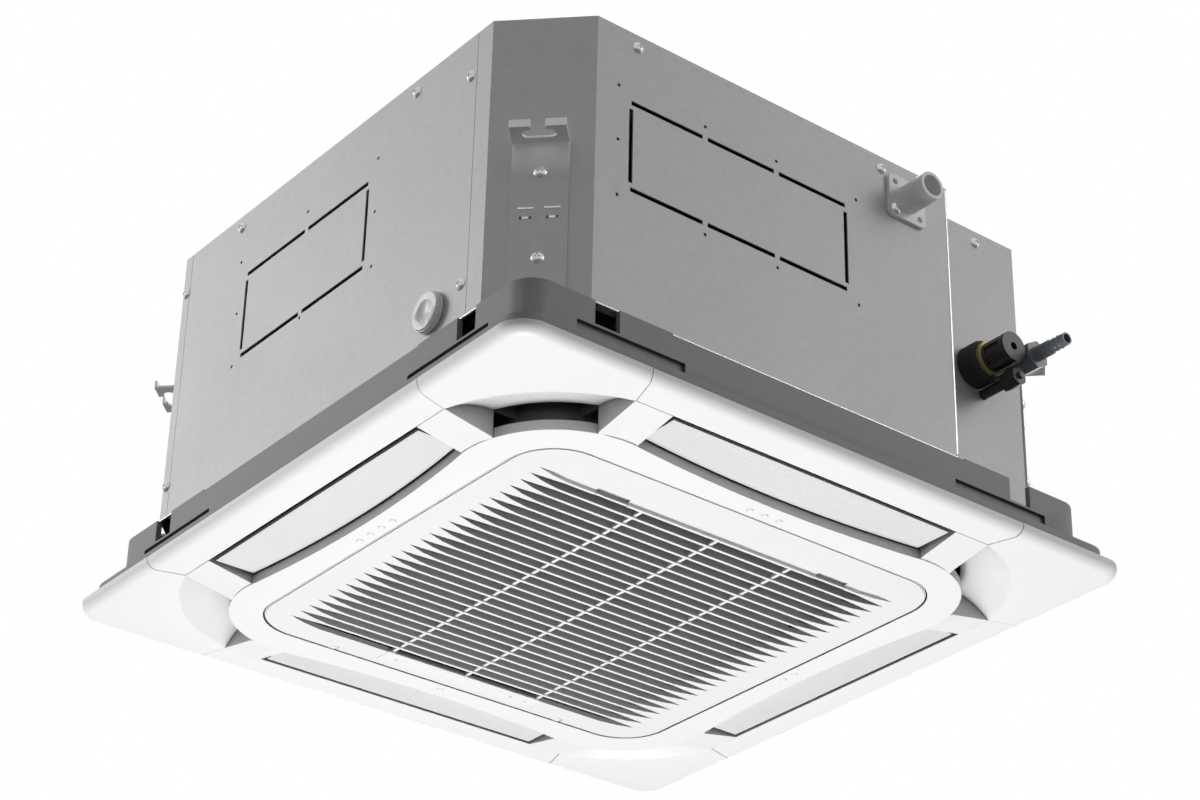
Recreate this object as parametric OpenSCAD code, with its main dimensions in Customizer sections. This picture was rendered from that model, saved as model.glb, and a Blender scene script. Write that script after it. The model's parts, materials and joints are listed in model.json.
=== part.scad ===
// Ceiling cassette air conditioner: sheet metal casing above, square decoration panel below.
// Origin: centre of the four suspension slots, on the underside of the hanger plates. Z is up.
// The front is -Y. The piping corner is at +X +Y.

/* [Casing] */
// Width of the casing between opposite faces
case_w = 570; // [520:1:640]
// Height of the casing
case_h = 260; // [240:1:300]
// Leg of the four corner chamfers
chamfer = 58; // [52:1:62]
// Thickness of the sheet metal
sheet = 1.2; // [0.8:0.1:1.5]
// Depth of the recessed piping corner
step_depth = 31.5; // [24:0.5:34]
// Length of the recessed piping corner
step_l = 137; // [132:1:142]
// Width of the joggled tabs under the seams
tab_w = 18; // [14:1:22]
// Thickness of the foam liner
liner_t = 8; // [6:0.5:10]
// Air gap between the sheet metal and the liner
liner_gap = 7.8; // [7.6:0.1:8.5]

/* [Hangers] */
// Casing top above the underside of the hanger plates
hang_below_top = 118; // [100:1:130]
// Width of a hanger bracket
hang_w = 44; // [40:1:50]
// Thickness of a hanger bracket
hang_t = 2; // [1.5:0.1:2.5]
// Reach of the hanger plate out from its base
hang_reach = 21; // [18:0.5:26]
// Width of the suspension slot
slot_w = 26; // [20:0.5:30]
// Depth of the suspension slot
slot_d = 10; // [9:0.5:12]
// Width of the slot's open mouth
mouth_w = 11.5; // [9:0.5:13]
// Height of the turned-up lips
lip_h = 7; // [4:0.5:10]

/* [Knock-outs] */
// Height of both knock-outs
ko_h = 80; // [60:1:90]
// Height of the knock-outs' centre above the casing bottom
ko_up = 153; // [140:1:165]
// Width of the cut slits
slit_w = 4; // [2:0.5:5]
// Bore of the pilot holes
pilot_d = 3; // [2:0.1:3.5]

/* [Drain and pipes] */
// Outside diameter of the drain pipe
drain_od = 25; // [22:0.5:26]
// Bore of the drain pipe
drain_id = 19; // [15:0.5:20]
// Length of the drain pipe outside the casing
drain_out = 33.5; // [25:0.5:45]
// Side of the drain socket's square flange
socket_side = 41; // [38:0.5:44]
// Outside diameter of the gas stub
gas_od = 12.7; // [9.5:0.1:13]
// Bore of the gas stub
gas_id = 10.7; // [7:0.1:11]
// Outside diameter of the barbed spigot
barb_od = 13; // [10:0.1:14]
// Bore of the barbed spigot
barb_id = 8; // [5:0.1:8.5]

/* [Panel] */
// Reach of the decoration panel beyond the casing on each side
panel_over = 27.5; // [26:0.5:35]
// Depth of the panel from the casing's bottom to its outer face
panel_depth = 65.5; // [64:0.5:70]
// Radius of the panel's corners
panel_r = 24; // [18:1:26]
// Radius of the rolled edge
roll_r = 9; // [6:0.5:10]
// Wall of the white mouldings
skin_t = 3; // [2.5:0.1:3.2]
// Height of the rim above the outer face
rim_h = 10.5; // [10:0.5:13]
// Reach of the upper frame beyond the casing on each side
frame_over = 3; // [2:0.5:5]
// Wall of the upper frame
frame_t = 5; // [4:0.5:6]
// Drop of the centre ring below the outer face
ring_drop = 8.5; // [7:0.5:9]
// Width of the notches in the upper frame
notch_w = 23; // [18:1:28]

/* [Flaps] */
// Thickness of a flap
flap_t = 3; // [2.5:0.1:3.2]
// Gap at each end of a flap
flap_end_gap = 4; // [3:0.5:6]
// Height of the flap's axis above the outer face
flap_up = 9; // [8.5:0.1:9.5]
// Diameter of the flap's pins
flap_pin_d = 6; // [5:0.5:7]

/* [Grille] */
// Corner radius of the suction grille
grille_r = 43; // [38:1:46]
// Thickness of the grille's face
grille_t = 4.2; // [3.6:0.1:4.5]
// Number of slots
slots = 27; // [20:1:29]
// Width of the bars between the slots
bar_w = 2.77; // [2:0.01:4]
// Width of the slot that holds the latches
latch_slot_w = 8.3; // [8:0.1:9]

/* [Fan and coil] */
// Height of the fan
fan_h = 120; // [100:1:124]
// Number of blades
blades = 7; // [5:1:9]
// Diameter of the fan shaft
shaft_d = 10; // [8:0.5:12]
// Gap between the fan and the heat exchanger
fan_gap = 27; // [20:1:35]
// Thickness of the heat exchanger
coil_t = 28; // [22:1:30]

/* [Hidden] */
$fn = 64;
// Overrun of cuts
over = 1;
// Running clearance of pins and shafts, on the radius
run_fit = 0.06;
// Clearance between fixed mouldings
gap = 0.3;

// Heights
top_z = hang_below_top;
bot_z = top_z - case_h;
face_z = bot_z - panel_depth;
ring_z = face_z - ring_drop;
rim_z = face_z + rim_h;

// Half widths of the casing, the panel and the upper frame; recessed plane; chamfer's distance
case_half = case_w / 2;
panel_half = case_half + panel_over;
frame_half = case_half + frame_over;
step_x = case_half - step_depth;
step_y = case_half - step_l;
chamfer_at = (case_w - chamfer) / sqrt(2);

// Seams of the side panels, in from the casing's side, and the gap at a seam
seam_right = case_half - 77.5;
seam_left = case_half - 69;
seam_gap = 0.5;
// Inward hem at the casing's bottom
hem = 8;
// Flanges of the top plate under the side panels
top_flange_h = 20;
top_flange_half = case_half - 109;
top_flange_right = [89 - case_half, step_y - top_flange_h];
piping_flange = [case_half - 95, case_half - 45];

// Screws: head, shank, length, and their places on the casing
head_r = 5.2;
head_h = 3;
dome_r = 6.2;
shank_r = 2.4;
screw_l = 8;
cross_w = 1.3;
cross_l = 5;
hole_r = 2.6;
screw_top_down = 12;
screw_high_down = 38;
screw_low_down = case_h - 31.5;
front_screw_shares = [-0.474, 0.439];
side_screw_shares = [-0.656, 0.256];
seam_screw_in = 7.5;
strip_screw_out = 5.5;
piping_screw_y = case_half - 72;

// Hanger details: lengths down from the plate, and out from the base
hang_short = 3;
hang_len = case_h - hang_below_top - hang_short + hang_t;
hang_screws_down = [27.5, hang_len - 37.5];
slot_in = 6;
tick_down = 59.5;
tick_w = 12.5;
tick_h = 1.8;
tick_at = 10.2;
louvre_down = 68;
louvre_w = 7.5;
louvre_h = 2.6;
louvre_bar = 4.6;
bolt_out = slot_in + slot_d / 2;
bolt_at = chamfer_at + hang_t + bolt_out;
foot_w = 22;
foot_reach = 22;

// Knock-outs: their ends, corner gaps and tabs, and the pilot holes' distance from the slits
ko_z = bot_z + ko_up;
front_ko = [166.7 - case_half, case_half - 223.3];
right_ko = [92.2 - case_half, step_y - 117.8];
corner_bridge = 6;
tab_bridge = 5;
pilot_out = 12.5;
pilot_up = 18;
pilot_down = 5;
right_pilot_up = 11;
right_pilot_down = 10;

// Water plug in the front
plug_x = case_half - 122;
plug_up = 23;
plug_r = 17;
plug_neck_r = 13;
plug_out = 7;
plug_groove = 1.2;
plug_dish_r = 9.5;
plug_dish = 2.6;

// Drain socket in the right side
socket_y = step_y - 49.5;
socket_down = 34.5;
socket_t = 3.5;
socket_r = 5;
socket_hole_at = 13.5;
socket_in = 20;

// Pipe fittings on the recessed plane: places, then lengths along X
gas_y = case_half - 83;
gas_down = 142;
liquid_y = case_half - 56;
liquid_down = 140;
bleed_y = case_half - 72;
bleed_below = 21.5;
bleed_down = gas_down + bleed_below;
sleeve_r = 19;
sleeve_l = 19.5;
sleeve_round = 3;
union_r = 15.5;
union_l = 4.5;
union_in = 20;
nut_r = 13.4;
nut_l = 25;
nut_ribs = 8;
nut_flat_w = 6.5;
nut_flat_d = 2.2;
nut_wall = 4;
nut_hole_r = 3.5;
gas_stub_l = 20;
hex_r = 12.9;
hex_l = 20;
hex_at = 30;
liquid_tube_r = 6;
barb_l = 34;
barb_step = 16;
barb_r2 = 5.5;
barb_ridge = 0.6;
barb_ridge_l = 5;
bleed_neck_r = 4.5;
bleed_neck_l = 26;
bleed_r = 8.4;
bleed_l = 17;
bleed_tip_r = 3;
bleed_tip_l = 3;

// Drain pan and trough, in from the casing's side
pan_half = case_half - 57;
pan_r = 70;
pan_h = 50;
pan_floor = 14;
trough_out = 4;
sump_floor = 8;
sump_wall = 9;
lug_w = 20;
lug_h = 12;
// Heat exchanger
coil_half = pan_half - 13;
coil_r = 60;
coil_h = case_h - pan_floor - 41;
// Fan: wheel, hub, blades, motor
fan_d = 2 * (coil_half - coil_t - fan_gap);
fan_z = bot_z + 38;
throat_d = fan_d - 80;
inlet_r = throat_d / 2 + 6;
fan_plate_t = 2.5;
shroud_t = 2;
shroud_rise = 20;
hub_r = 18;
hub_h = 22;
hub_drop = 46;
cone_share = 0.51;
blade_in_share = 0.625;
blade_off_share = 0.344;
blade_curve_share = 0.4875;
blade_t = 2.2;
fan_edge = 3;
motor_r = 58;
motor_gap = 8;
motor_flange_r = 78;
motor_flange_t = 12;
motor_screw_r = 68;
shaft_in = case_h - 38 - fan_h - motor_gap - 28;
shaft_below = 14;
nut_af = 17;
nut_h = 8;
// Bell mouth
pan_hole_r = throat_d / 2 + 30;
bell_t = 2;
bell_arc = pan_hole_r - throat_d / 2;
bell_lip = 22;
bell_up = 46;

// Copper lines and headers
header_x = case_half - 147;
header_r = 8;
feeder_r = 3;
feeders = 5;
feeder_l = 26;
coil_end_x = header_x - feeder_l;
coil_end_y = step_y - 108;
liquid_header_x = header_x + 27;
liquid_header_y = liquid_y - 3;
liquid_header_r = 5;
coil_row = 7;

// Drain pump, hose and float switch
pump_x = case_half - 95;
pump_y = socket_y + 42.5;
pump_strainer_r = 11;
pump_strainer_h = 54;
pump_r = 25;
pump_h = 45;
pump_motor_r = 19;
pump_motor_h = 34;
pump_nozzle_up = 15;
nozzle_share = 1.25;
hose_wall = 2.4;
float_x = pump_x + 10;
float_y = socket_y - 26.5;
float_r = 11;
float_h = 14;
float_stem_r = 3;
float_base_r = 8;
float_base_h = 3;
float_travel = 12;
float_stop_h = 3;
float_stop_r = 5;
float_fit = 0.1;
float_seat = 0.3;
sump = [pump_x - pump_r, pan_half - sump_wall, float_y - float_r - over, pump_y + pump_r + liner_t];

// Panel frame, in from the panel's edge or the frame's side
outlet_out = panel_half - 31.5;
outlet_half = outlet_out - 135.5;
cheek = outlet_out - 100;
flange_half = panel_half - 9.5;
flange_rise = 13.8;
band_t = 3;
band_in = frame_half - 2;
frame_r = 22;
divider_half = outlet_out - 64;
divider_t = 3;
divider_r = 46;
web_t = 3;
notch_at = frame_half - 74;
notch_h = 20;
back_slot = [frame_half - 148, frame_half - 46];
back_slot_h = 19.2;
back_slot_d = 3;
boss_r = 8;
arc_centre = outlet_out - 136.5;
arc_r = 141;
wall_r = 100;
seam_shares = [0.31, 0.62];
scoop_rise = 14.8;
cover_gap = 0.5;
bolt_head_r = 6;
bolt_head_h = 4;
bolt_hole_r = 2.8;
mid_drop = 1.5;
mid_half = frame_half - 136;

// Centre ring
ring_half = outlet_out - 41;
waist_half = ring_half - 10;
ring_r = 85;
waist_chord = ring_half - 90;
ring_wall = 2.5;
bridge_in = 1;
dot_r = 2.6;
dot_h = 0.8;
dot_at = ring_half - 23.5;
dot_pitch = 15;
edge_gap = 1.45;

// Flaps: edges, arms and pins, and their motors
flap_axis = outlet_out - 37;
flap_half = outlet_half - flap_end_gap;
flap_edge = 4.5;
flap_gap = 2;
arm_t = 4;
boss_wall_flap = 2.5;
pin_out = 6.4;
pin_motor = 12;
flap_rib_w = 1.6;
flap_rib_h = 3;
motor_d = 19;
motor_l = 16;

// Grille: slots and their tips, ribs, walls, hinge, latches, lamps, filter
grille_half = ring_half - 33;
slots_from = 25.7 - grille_half;
slots_to = grille_half - 37.6;
slot_pitch = (slots_to - latch_slot_w - slots_from) / (slots - 1);
grille_slot_w = slot_pitch - bar_w;
slot_tip = grille_half - 24;
slot_open = grille_half - 52;
tip_d = 2.4;
rib_w = 3;
rib_shares = [-0.362, 0.01, 0.382];
rib_drop = 1.4;
latch_slot_d = 3;
wall_in = 5;
wall_t = 2;
wall_h = 12;
blade_h = 6.8;
hinge_in = 3.5;
edge_break = 1;
hinge_pin_r = 0.9;
hinge_lug_w = 6;
hinge_lug_r = 1.8;
hinge_y = grille_half - 87;
hinge_notch = 7;
hinge_gap = 1.2;
latch_shares = [-0.52, 0.577];
latch_w = 31;
latch_tongue_w = 16;
latch_tongue_t = 3;
latch_short = 0.5;
latch_travel = 4.5;
latch_cover = 3;
strip_at = grille_half - 17.2;
strip_w = 19.5;
strip_l = grille_half - 47;
strip_t = 1.6;
strip_proud = 0.4;
lamp_r = 1.6;
lamp_shares = [-0.41, 0.35, 0.45];
filter_gap = 1;
filter_frame = 8;
filter_t = 4;
filter_bars = 9;
filter_bar = 1.2;

// Control box beside the bell mouth
box_x = divider_half - 67;
box_w = 33;
box_y = [divider_half - 6 - box_w, divider_half - 6];
box_h = 34;
box_wall = 1.5;
box_lid_t = 1.5;
board_t = 1.6;
board_post = 6;
board_in = 2.5;
part_h = 9;
part_pitch = 30;
terminal_w = 60;
terminal_h = 14;
terminal_pitch = 12;

// Half diagonal share of a square corner
diag = sqrt(2);
// Ends of the bracket's base on the short chamfer of the piping corner
short_base = [chamfer_at - step_x * diag + gap, case_half * diag - chamfer_at - gap];

// Outline of the casing, inset by d
function outline(d) =
    let (h = case_half - d, k = case_half - chamfer - d * (diag - 1))
    let (s = step_x - d, kr = case_half - chamfer + step_depth - d * (diag - 1))
    [[k, -h], [h, -k], [h, step_y - d], [s, step_y - d], [s, kr], [kr + step_x - case_half, h],
     [-k, h], [-h, k], [-h, -k], [-k, -h]];

// Box between two corners
module box(x0, x1, y0, y1, z0, z1) {
    translate([x0, y0, z0]) cube([x1 - x0, y1 - y0, z1 - z0]);
}

// Flat shape between two heights
module slab(z0, z1) {
    translate([0, 0, z0]) linear_extrude(z1 - z0) children();
}

// Square with half width h and corner radius r
module rounded(h, r) {
    square([2 * (h - r), 2 * h], center = true);
    square([2 * h, 2 * (h - r)], center = true);
    for (sx = [-1, 1], sy = [-1, 1]) translate([sx * (h - r), sy * (h - r)]) circle(r);
}

// Round rod between two points
module rod(a, b, r) {
    v = b - a;
    l = norm(v);
    translate(a) rotate([0, acos(v[2] / l), atan2(v[1], v[0])]) cylinder(r = r, h = l);
}

// Band of sheet between the insets d0 and d1
module band(d0, d1, z0, z1) {
    slab(z0, z1) difference() {
        polygon(outline(d0));
        polygon(outline(d1));
    }
}

// Places the children, drawn for the front side at -Y, on the side that is a degrees round
module on_face(a, u, out, z) {
    rotate(a) translate([u, -out, z]) rotate([90, 0, 0]) children();
}

// Pan head screw, its head on the plane z = 0 and its shank below
module screw() {
    difference() {
        intersection() {
            cylinder(r = head_r, h = head_h);
            translate([0, 0, head_h - dome_r]) sphere(dome_r);
        }
        for (a = [0, 90]) rotate(a)
            translate([-cross_l / 2, -cross_w / 2, head_h / 2]) cube([cross_l, cross_w, head_h]);
    }
    translate([0, 0, -screw_l]) cylinder(r = shank_r, h = screw_l + head_h / 4);
}

// Places of the casing screws: angle of the side, place along it, distance out, height
function casing_screw_places() = concat(
    [for (a = [0, 180], u = front_screw_shares) [a, u * case_half, case_half,
        top_z - screw_top_down]],
    [for (a = [90, 270], u = side_screw_shares) [a, u * case_half, case_half,
        top_z - screw_top_down]],
    [[90, piping_screw_y, step_x, top_z - screw_top_down]],
    [for (d = [screw_high_down, screw_low_down]) [0, seam_right - seam_screw_in, case_half, top_z - d]],
    [for (d = [screw_high_down, screw_low_down]) [0, -seam_left - strip_screw_out, case_half, top_z - d]],
    [for (s = [-1, 1], d = [screw_high_down, screw_low_down])
        [180, s * (seam_right - seam_screw_in), case_half, top_z - d]]);

// Places of the hanger screws, on the four chamfers
function hanger_screw_places() =
    [for (a = [45 : 90 : 315], d = hang_screws_down)
        [a, a == 135 ? (short_base[0] + short_base[1]) / 2 : 0, chamfer_at + hang_t, -d]];

// Places of the two screws of the drain socket
function socket_screw_places() =
    [for (s = [-1, 1]) [90, socket_y + s * socket_hole_at, case_half + socket_t,
        top_z - socket_down + s * socket_hole_at]];

module bores_at(places, r) {
    for (p = places) on_face(p[0], p[1], p[2], p[3])
        translate([0, 0, -screw_l]) cylinder(r = r, h = screw_l + over);
}

module casing_holes() {
    bores_at(casing_screw_places(), hole_r);
    bores_at(hanger_screw_places(), hole_r);
    bores_at(socket_screw_places(), hole_r);
}

// Pilot hole in the front face plane
module pilot(u, z) {
    on_face(0, u, case_half, z) translate([0, 0, -sheet - over])
        cylinder(d = pilot_d, h = sheet + 2 * over);
}

// Slits and pilot holes of a knock-out between two ends, with n stretches along its length
module knock_out(span, n, ends, up, down) {
    h = case_half;
    w = span[1] - span[0];
    translate([(span[0] + span[1]) / 2, 0, 0]) knock_out_cuts(w, h, n, ends, up, down);
}

module knock_out_cuts(w, h, n, ends, up, down) {
    pitch = w / n;
    for (z = [ko_z - ko_h / 2, ko_z + ko_h / 2], i = [0 : n - 1])
        box(-w / 2 + i * pitch + (i > 0 ? tab_bridge / 2 : 0),
            -w / 2 + (i + 1) * pitch - (i < n - 1 ? tab_bridge / 2 : 0),
            -h - over, -h + sheet + over, z - slit_w / 2, z + slit_w / 2);
    for (x = [-w / 2, w / 2])
        box(x - slit_w / 2, x + slit_w / 2, -h - over, -h + sheet + over,
            ko_z - ko_h / 2 + corner_bridge, ko_z + ko_h / 2 - corner_bridge);
    for (i = [0 : n], z = [ko_z - ko_h / 2 - down, ko_z + ko_h / 2 + up]) {
        x = -w / 2 + i * pitch;
        pilot(x + (i == 0 ? -pilot_out : i == n ? pilot_out : 0), z);
    }
    for (s = ends) pilot(s * (w / 2 + pilot_out), ko_z + (up - down) / 2);
}

// Tab one sheet behind a face, from u0 to u1 along the side that is a degrees round
module tab(a, out, u0, u1) {
    rotate(a) box(u0, u1, -out + sheet, -out + 2 * sheet, bot_z + 2 * sheet, top_z - sheet);
}

module top_plate() {
    color("silver") difference() {
        union() {
            slab(top_z - sheet, top_z) polygon(outline(0));
            for (a = [0, 180]) rotate(a)
                box(-top_flange_half, top_flange_half, -case_half + sheet, -case_half + 2 * sheet,
                    top_z - sheet - top_flange_h, top_z - sheet / 2);
            rotate(90)
                box(top_flange_right[0], top_flange_right[1], -case_half + sheet,
                    -case_half + 2 * sheet, top_z - sheet - top_flange_h, top_z - sheet / 2);
            rotate(90)
                box(piping_flange[0], piping_flange[1], -step_x + sheet, -step_x + 2 * sheet,
                    top_z - sheet - top_flange_h, top_z - sheet / 2);
            rotate(270)
                box(-top_flange_right[1], -top_flange_right[0], -case_half + sheet,
                    -case_half + 2 * sheet, top_z - sheet - top_flange_h, top_z - sheet / 2);
        }
        casing_holes();
        motor_screw_bores(hole_r);
    }
}

module motor_screw_bores(r) {
    for (a = [30 : 120 : 270]) rotate(a)
        translate([motor_screw_r, 0, top_z - screw_l - over]) cylinder(r = r, h = screw_l + 2 * over);
}

module side_panel_front() {
    color("silver") difference() {
        union() {
            box(-seam_left, seam_right, -case_half, -case_half + sheet, bot_z, top_z - sheet);
            box(-seam_left, seam_right - tab_w - over, -case_half, -case_half + hem, bot_z,
                bot_z + sheet);
            tab(0, case_half, -seam_left - tab_w / 2, -seam_left + tab_w / 4);
        }
        casing_holes();
        knock_out(front_ko, 2, [-1, 1], pilot_up, pilot_down);
        on_face(0, plug_x, case_half + over, bot_z + plug_up) translate([0, 0, -hem])
            cylinder(r = plug_neck_r, h = 2 * hem);
    }
}

module side_panel_right() {
    color("silver") difference() {
        union() {
            intersection() {
                band(0, sheet, bot_z, top_z - sheet);
                union() {
                    box(seam_right + seam_gap, case_w, -case_w, 0, bot_z, top_z);
                    box(step_x, case_w, -over, step_y, bot_z, top_z);
                }
            }
            box(case_half - hem, case_half, -case_half + chamfer + hem, step_y - sheet, bot_z,
                bot_z + sheet);
            tab(0, case_half, seam_right - tab_w, seam_right + seam_gap + tab_w / 4);
        }
        casing_holes();
        rotate(90) knock_out(right_ko, 3, [-1], right_pilot_up, right_pilot_down);
        on_face(90, socket_y, case_half, top_z - socket_down) translate([0, 0, -hem])
            cylinder(d = drain_od + gap, h = 2 * hem);
    }
}

module side_panel_back() {
    color("silver") difference() {
        union() {
            box(-seam_right, seam_right, case_half - sheet, case_half, bot_z, top_z - sheet);
            box(-seam_right + tab_w + over, seam_right - tab_w - over, case_half - hem, case_half,
                bot_z, bot_z + sheet);
        }
        casing_holes();
    }
}

module side_panel_left() {
    color("silver") difference() {
        union() {
            intersection() {
                band(0, sheet, bot_z, top_z - sheet);
                union() {
                    box(-case_w, -seam_left - seam_gap, -case_w, over, bot_z, top_z);
                    box(-case_w, -seam_right - seam_gap, 0, case_w, bot_z, top_z);
                }
            }
            box(-case_half, -case_half + hem, -case_half + chamfer + hem,
                case_half - chamfer - hem, bot_z, bot_z + sheet);
            tab(180, case_half, seam_right - tab_w, seam_right + seam_gap + tab_w / 4);
        }
        casing_holes();
    }
}

module piping_panel() {
    color("silver") difference() {
        union() {
            intersection() {
                band(0, sheet, bot_z, top_z - sheet);
                union() {
                    box(over, step_x, step_y, case_half - chamfer, bot_z, top_z);
                    box(seam_right + seam_gap, step_x, step_y, case_w, bot_z, top_z);
                }
            }
            box(step_x - sheet, step_x, step_y - tab_w / 3, step_y + tab_w, bot_z + 2 * sheet,
                top_z - sheet);
            box(step_x - hem, step_x, step_y, case_half - chamfer, bot_z, bot_z + sheet);
            tab(180, case_half, -seam_right - seam_gap - tab_w / 4, -seam_right + tab_w);
        }
        casing_holes();
        pipe_bore(gas_y, gas_down, gas_od / 2 + gap);
        pipe_bore(liquid_y, liquid_down, liquid_tube_r + gap);
        pipe_bore(bleed_y, bleed_down, bleed_neck_r + gap);
    }
}

// Bore along X through the recessed plane
module pipe_bore(y, down, r) {
    rod([step_x - liner_gap - 2 * liner_t - hem, y, top_z - down],
        [step_x + over, y, top_z - down], r);
}

// Suspension slot, open outward, drawn flat with its bottom at y = 0 and outward at -y
module t_slot() {
    r = slot_d / 2;
    translate([-slot_w / 2 + r, -slot_d]) square([slot_w - 2 * r, slot_d]);
    for (s = [-1, 1]) translate([s * (slot_w / 2 - r), -r]) circle(r);
    translate([-mouth_w / 2, -hang_reach]) square([mouth_w, hang_reach - r]);
}

// Hanger bracket on the chamfer that is a degrees round, with the two ends of its base
module hanger(a, base = [-hang_w / 2, hang_w / 2]) {
    y0 = -chamfer_at - hang_t;
    mid = (base[0] + base[1]) / 2;
    color("white") rotate(a) difference() {
        union() {
            box(base[0], base[1], y0, -chamfer_at, hang_t - hang_len, hang_t);
            box(-hang_w / 2, hang_w / 2, y0 - hang_reach, y0, 0, hang_t);
            box(-hang_w / 2, hang_w / 2, y0 - hang_reach, y0 - hang_reach + hang_t, 0, lip_h);
            box(-foot_w / 2, foot_w / 2 + mid, y0 - foot_reach, y0, hang_t - hang_len,
                2 * hang_t - hang_len);
        }
        translate([0, y0 - slot_in, -over]) linear_extrude(lip_h + 2 * over) t_slot();
        translate([0, -bolt_at, -hang_len]) cylinder(r = hole_r, h = hang_t * 4);
        for (s = [-1, 1]) {
            translate([mid + s * tick_at - tick_w / 2, y0 - over, -tick_down - tick_h / 2])
                cube([tick_w, hang_t + 2 * over, tick_h]);
            for (e = [-1, 1])
                translate([mid + s * tick_at + e * louvre_w / 2 - (louvre_w - louvre_bar) / 4,
                    y0 - over, -louvre_down - louvre_h / 2])
                    cube([(louvre_w - louvre_bar) / 2, hang_t + 2 * over, louvre_h]);
        }
        for (d = hang_screws_down) translate([mid, y0 - over, -d]) rotate([-90, 0, 0])
            cylinder(r = hole_r, h = hang_t + 2 * over);
    }
}

module casing_screws() {
    color("gainsboro") {
        for (p = concat(casing_screw_places(), hanger_screw_places(), socket_screw_places()))
            on_face(p[0], p[1], p[2], p[3]) screw();
        for (a = [30 : 120 : 270]) rotate(a) translate([motor_screw_r, 0, top_z]) screw();
    }
}

module water_plug() {
    dish_round = (pow(plug_dish_r, 2) + pow(plug_dish, 2)) / (2 * plug_dish);
    color("whitesmoke") on_face(0, plug_x, case_half, bot_z + plug_up) difference() {
        union() {
            cylinder(r = plug_r - plug_groove, h = plug_out);
            translate([0, 0, plug_groove]) cylinder(r = plug_r, h = plug_out - 2 * plug_groove);
            translate([0, 0, -sheet - plug_groove])
                cylinder(r = plug_neck_r - gap / 2, h = plug_out);
        }
        translate([0, 0, plug_out - plug_dish + dish_round]) sphere(r = dish_round);
    }
}

module drain_socket() {
    z = top_z - socket_down;
    color("lightgray") difference() {
        union() {
            on_face(90, socket_y, case_half, z) linear_extrude(socket_t)
                rounded(socket_side / 2, socket_r);
            rod([case_half - socket_in, socket_y, z], [case_half + drain_out, socket_y, z],
                drain_od / 2);
        }
        rod([case_half - socket_in - over, socket_y, z],
            [case_half + drain_out + over, socket_y, z], drain_id / 2);
        for (sy = [-1, 1], sz = [-1, 1])
            on_face(90, socket_y + sy * socket_hole_at, case_half - over, z + sz * socket_hole_at)
                cylinder(r = hole_r, h = socket_t + 2 * over);
    }
}

// Axis along X from the recessed plane
module on_pipe(y, down) {
    translate([step_x, y, top_z - down]) rotate([0, 90, 0]) children();
}

module pipe_sleeve() {
    color("dimgray") on_pipe(gas_y, gas_down) difference() {
        union() {
            cylinder(r = sleeve_r, h = sleeve_l - sleeve_round);
            translate([0, 0, sleeve_l - sleeve_round])
                cylinder(r1 = sleeve_r, r2 = sleeve_r - sleeve_round, h = sleeve_round);
        }
        translate([0, 0, -over]) cylinder(r = gas_od / 2 + gap, h = sleeve_l + 2 * over);
    }
}

module gas_union() {
    color("darkgoldenrod") on_pipe(gas_y, gas_down) difference() {
        union() {
            translate([0, 0, -union_in]) cylinder(d = gas_od, h = union_in + sleeve_l + union_l
                + gas_stub_l);
            translate([0, 0, sleeve_l]) cylinder(r = union_r, h = union_l);
        }
        translate([0, 0, -union_in - over])
            cylinder(d = gas_id, h = union_in + sleeve_l + union_l + gas_stub_l + 2 * over);
    }
}

module gas_nut() {
    color("black") on_pipe(gas_y, gas_down) translate([0, 0, sleeve_l + union_l]) difference() {
        cylinder(r = nut_r, h = nut_l);
        for (i = [0 : nut_ribs - 1]) rotate(i * 360 / nut_ribs)
            translate([nut_r - nut_flat_d, -nut_flat_w / 2, nut_flat_d])
                cube([nut_flat_d + over, nut_flat_w, nut_l - 2 * nut_wall]);
        translate([0, 0, -over]) cylinder(r = gas_od / 2 + gap, h = nut_l - nut_wall + over);
        cylinder(r = nut_hole_r, h = nut_l + over);
    }
}

module liquid_coupling() {
    color("slategray") on_pipe(liquid_y, liquid_down) difference() {
        union() {
            translate([0, 0, -union_in]) cylinder(r = liquid_tube_r, h = union_in + hex_at + over);
            translate([0, 0, hex_at]) cylinder(r = hex_r, h = hex_l, $fn = 6);
            translate([0, 0, hex_at + hex_l - over]) cylinder(d = barb_od, h = barb_step + over);
            translate([0, 0, hex_at + hex_l]) cylinder(r = barb_r2, h = barb_l);
            for (i = [1, 2]) translate([0, 0, hex_at + hex_l + barb_step + i * barb_ridge_l])
                cylinder(r1 = barb_r2 + barb_ridge, r2 = barb_r2 - barb_ridge / 4, h = barb_ridge_l / 2);
        }
        translate([0, 0, -union_in - over])
            cylinder(d = barb_id, h = union_in + hex_at + hex_l + barb_l + 2 * over);
    }
}

module bleed_valve() {
    color("black") on_pipe(bleed_y, bleed_down) {
        translate([0, 0, -union_in]) cylinder(r = bleed_neck_r, h = union_in + bleed_neck_l + over);
        translate([0, 0, bleed_neck_l]) cylinder(r = bleed_r, h = bleed_l, $fn = 6);
        translate([0, 0, bleed_neck_l + bleed_l - over])
            cylinder(r = bleed_tip_r, h = bleed_tip_l + over);
    }
}

module casing_liner() {
    d0 = sheet + liner_gap;
    d1 = d0 + liner_t;
    color("white") difference() {
        slab(bot_z + sheet, top_z - sheet) polygon(outline(d0));
        slab(bot_z, top_z - sheet - 2 * liner_t) polygon(outline(d1));
        translate([0, 0, top_z - 4 * liner_t]) cylinder(r = motor_flange_r + gap, h = 5 * liner_t);
        rod([case_half - 4 * liner_t, socket_y, top_z - socket_down],
            [case_half, socket_y, top_z - socket_down], drain_od / 2 + liner_t / 4);
        pipe_bore(gas_y, gas_down, gas_od / 2 + liner_t / 4);
        pipe_bore(liquid_y, liquid_down, liquid_tube_r + liner_t / 4);
        pipe_bore(bleed_y, bleed_down, bleed_neck_r + liner_t / 4);
    }
}

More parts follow.
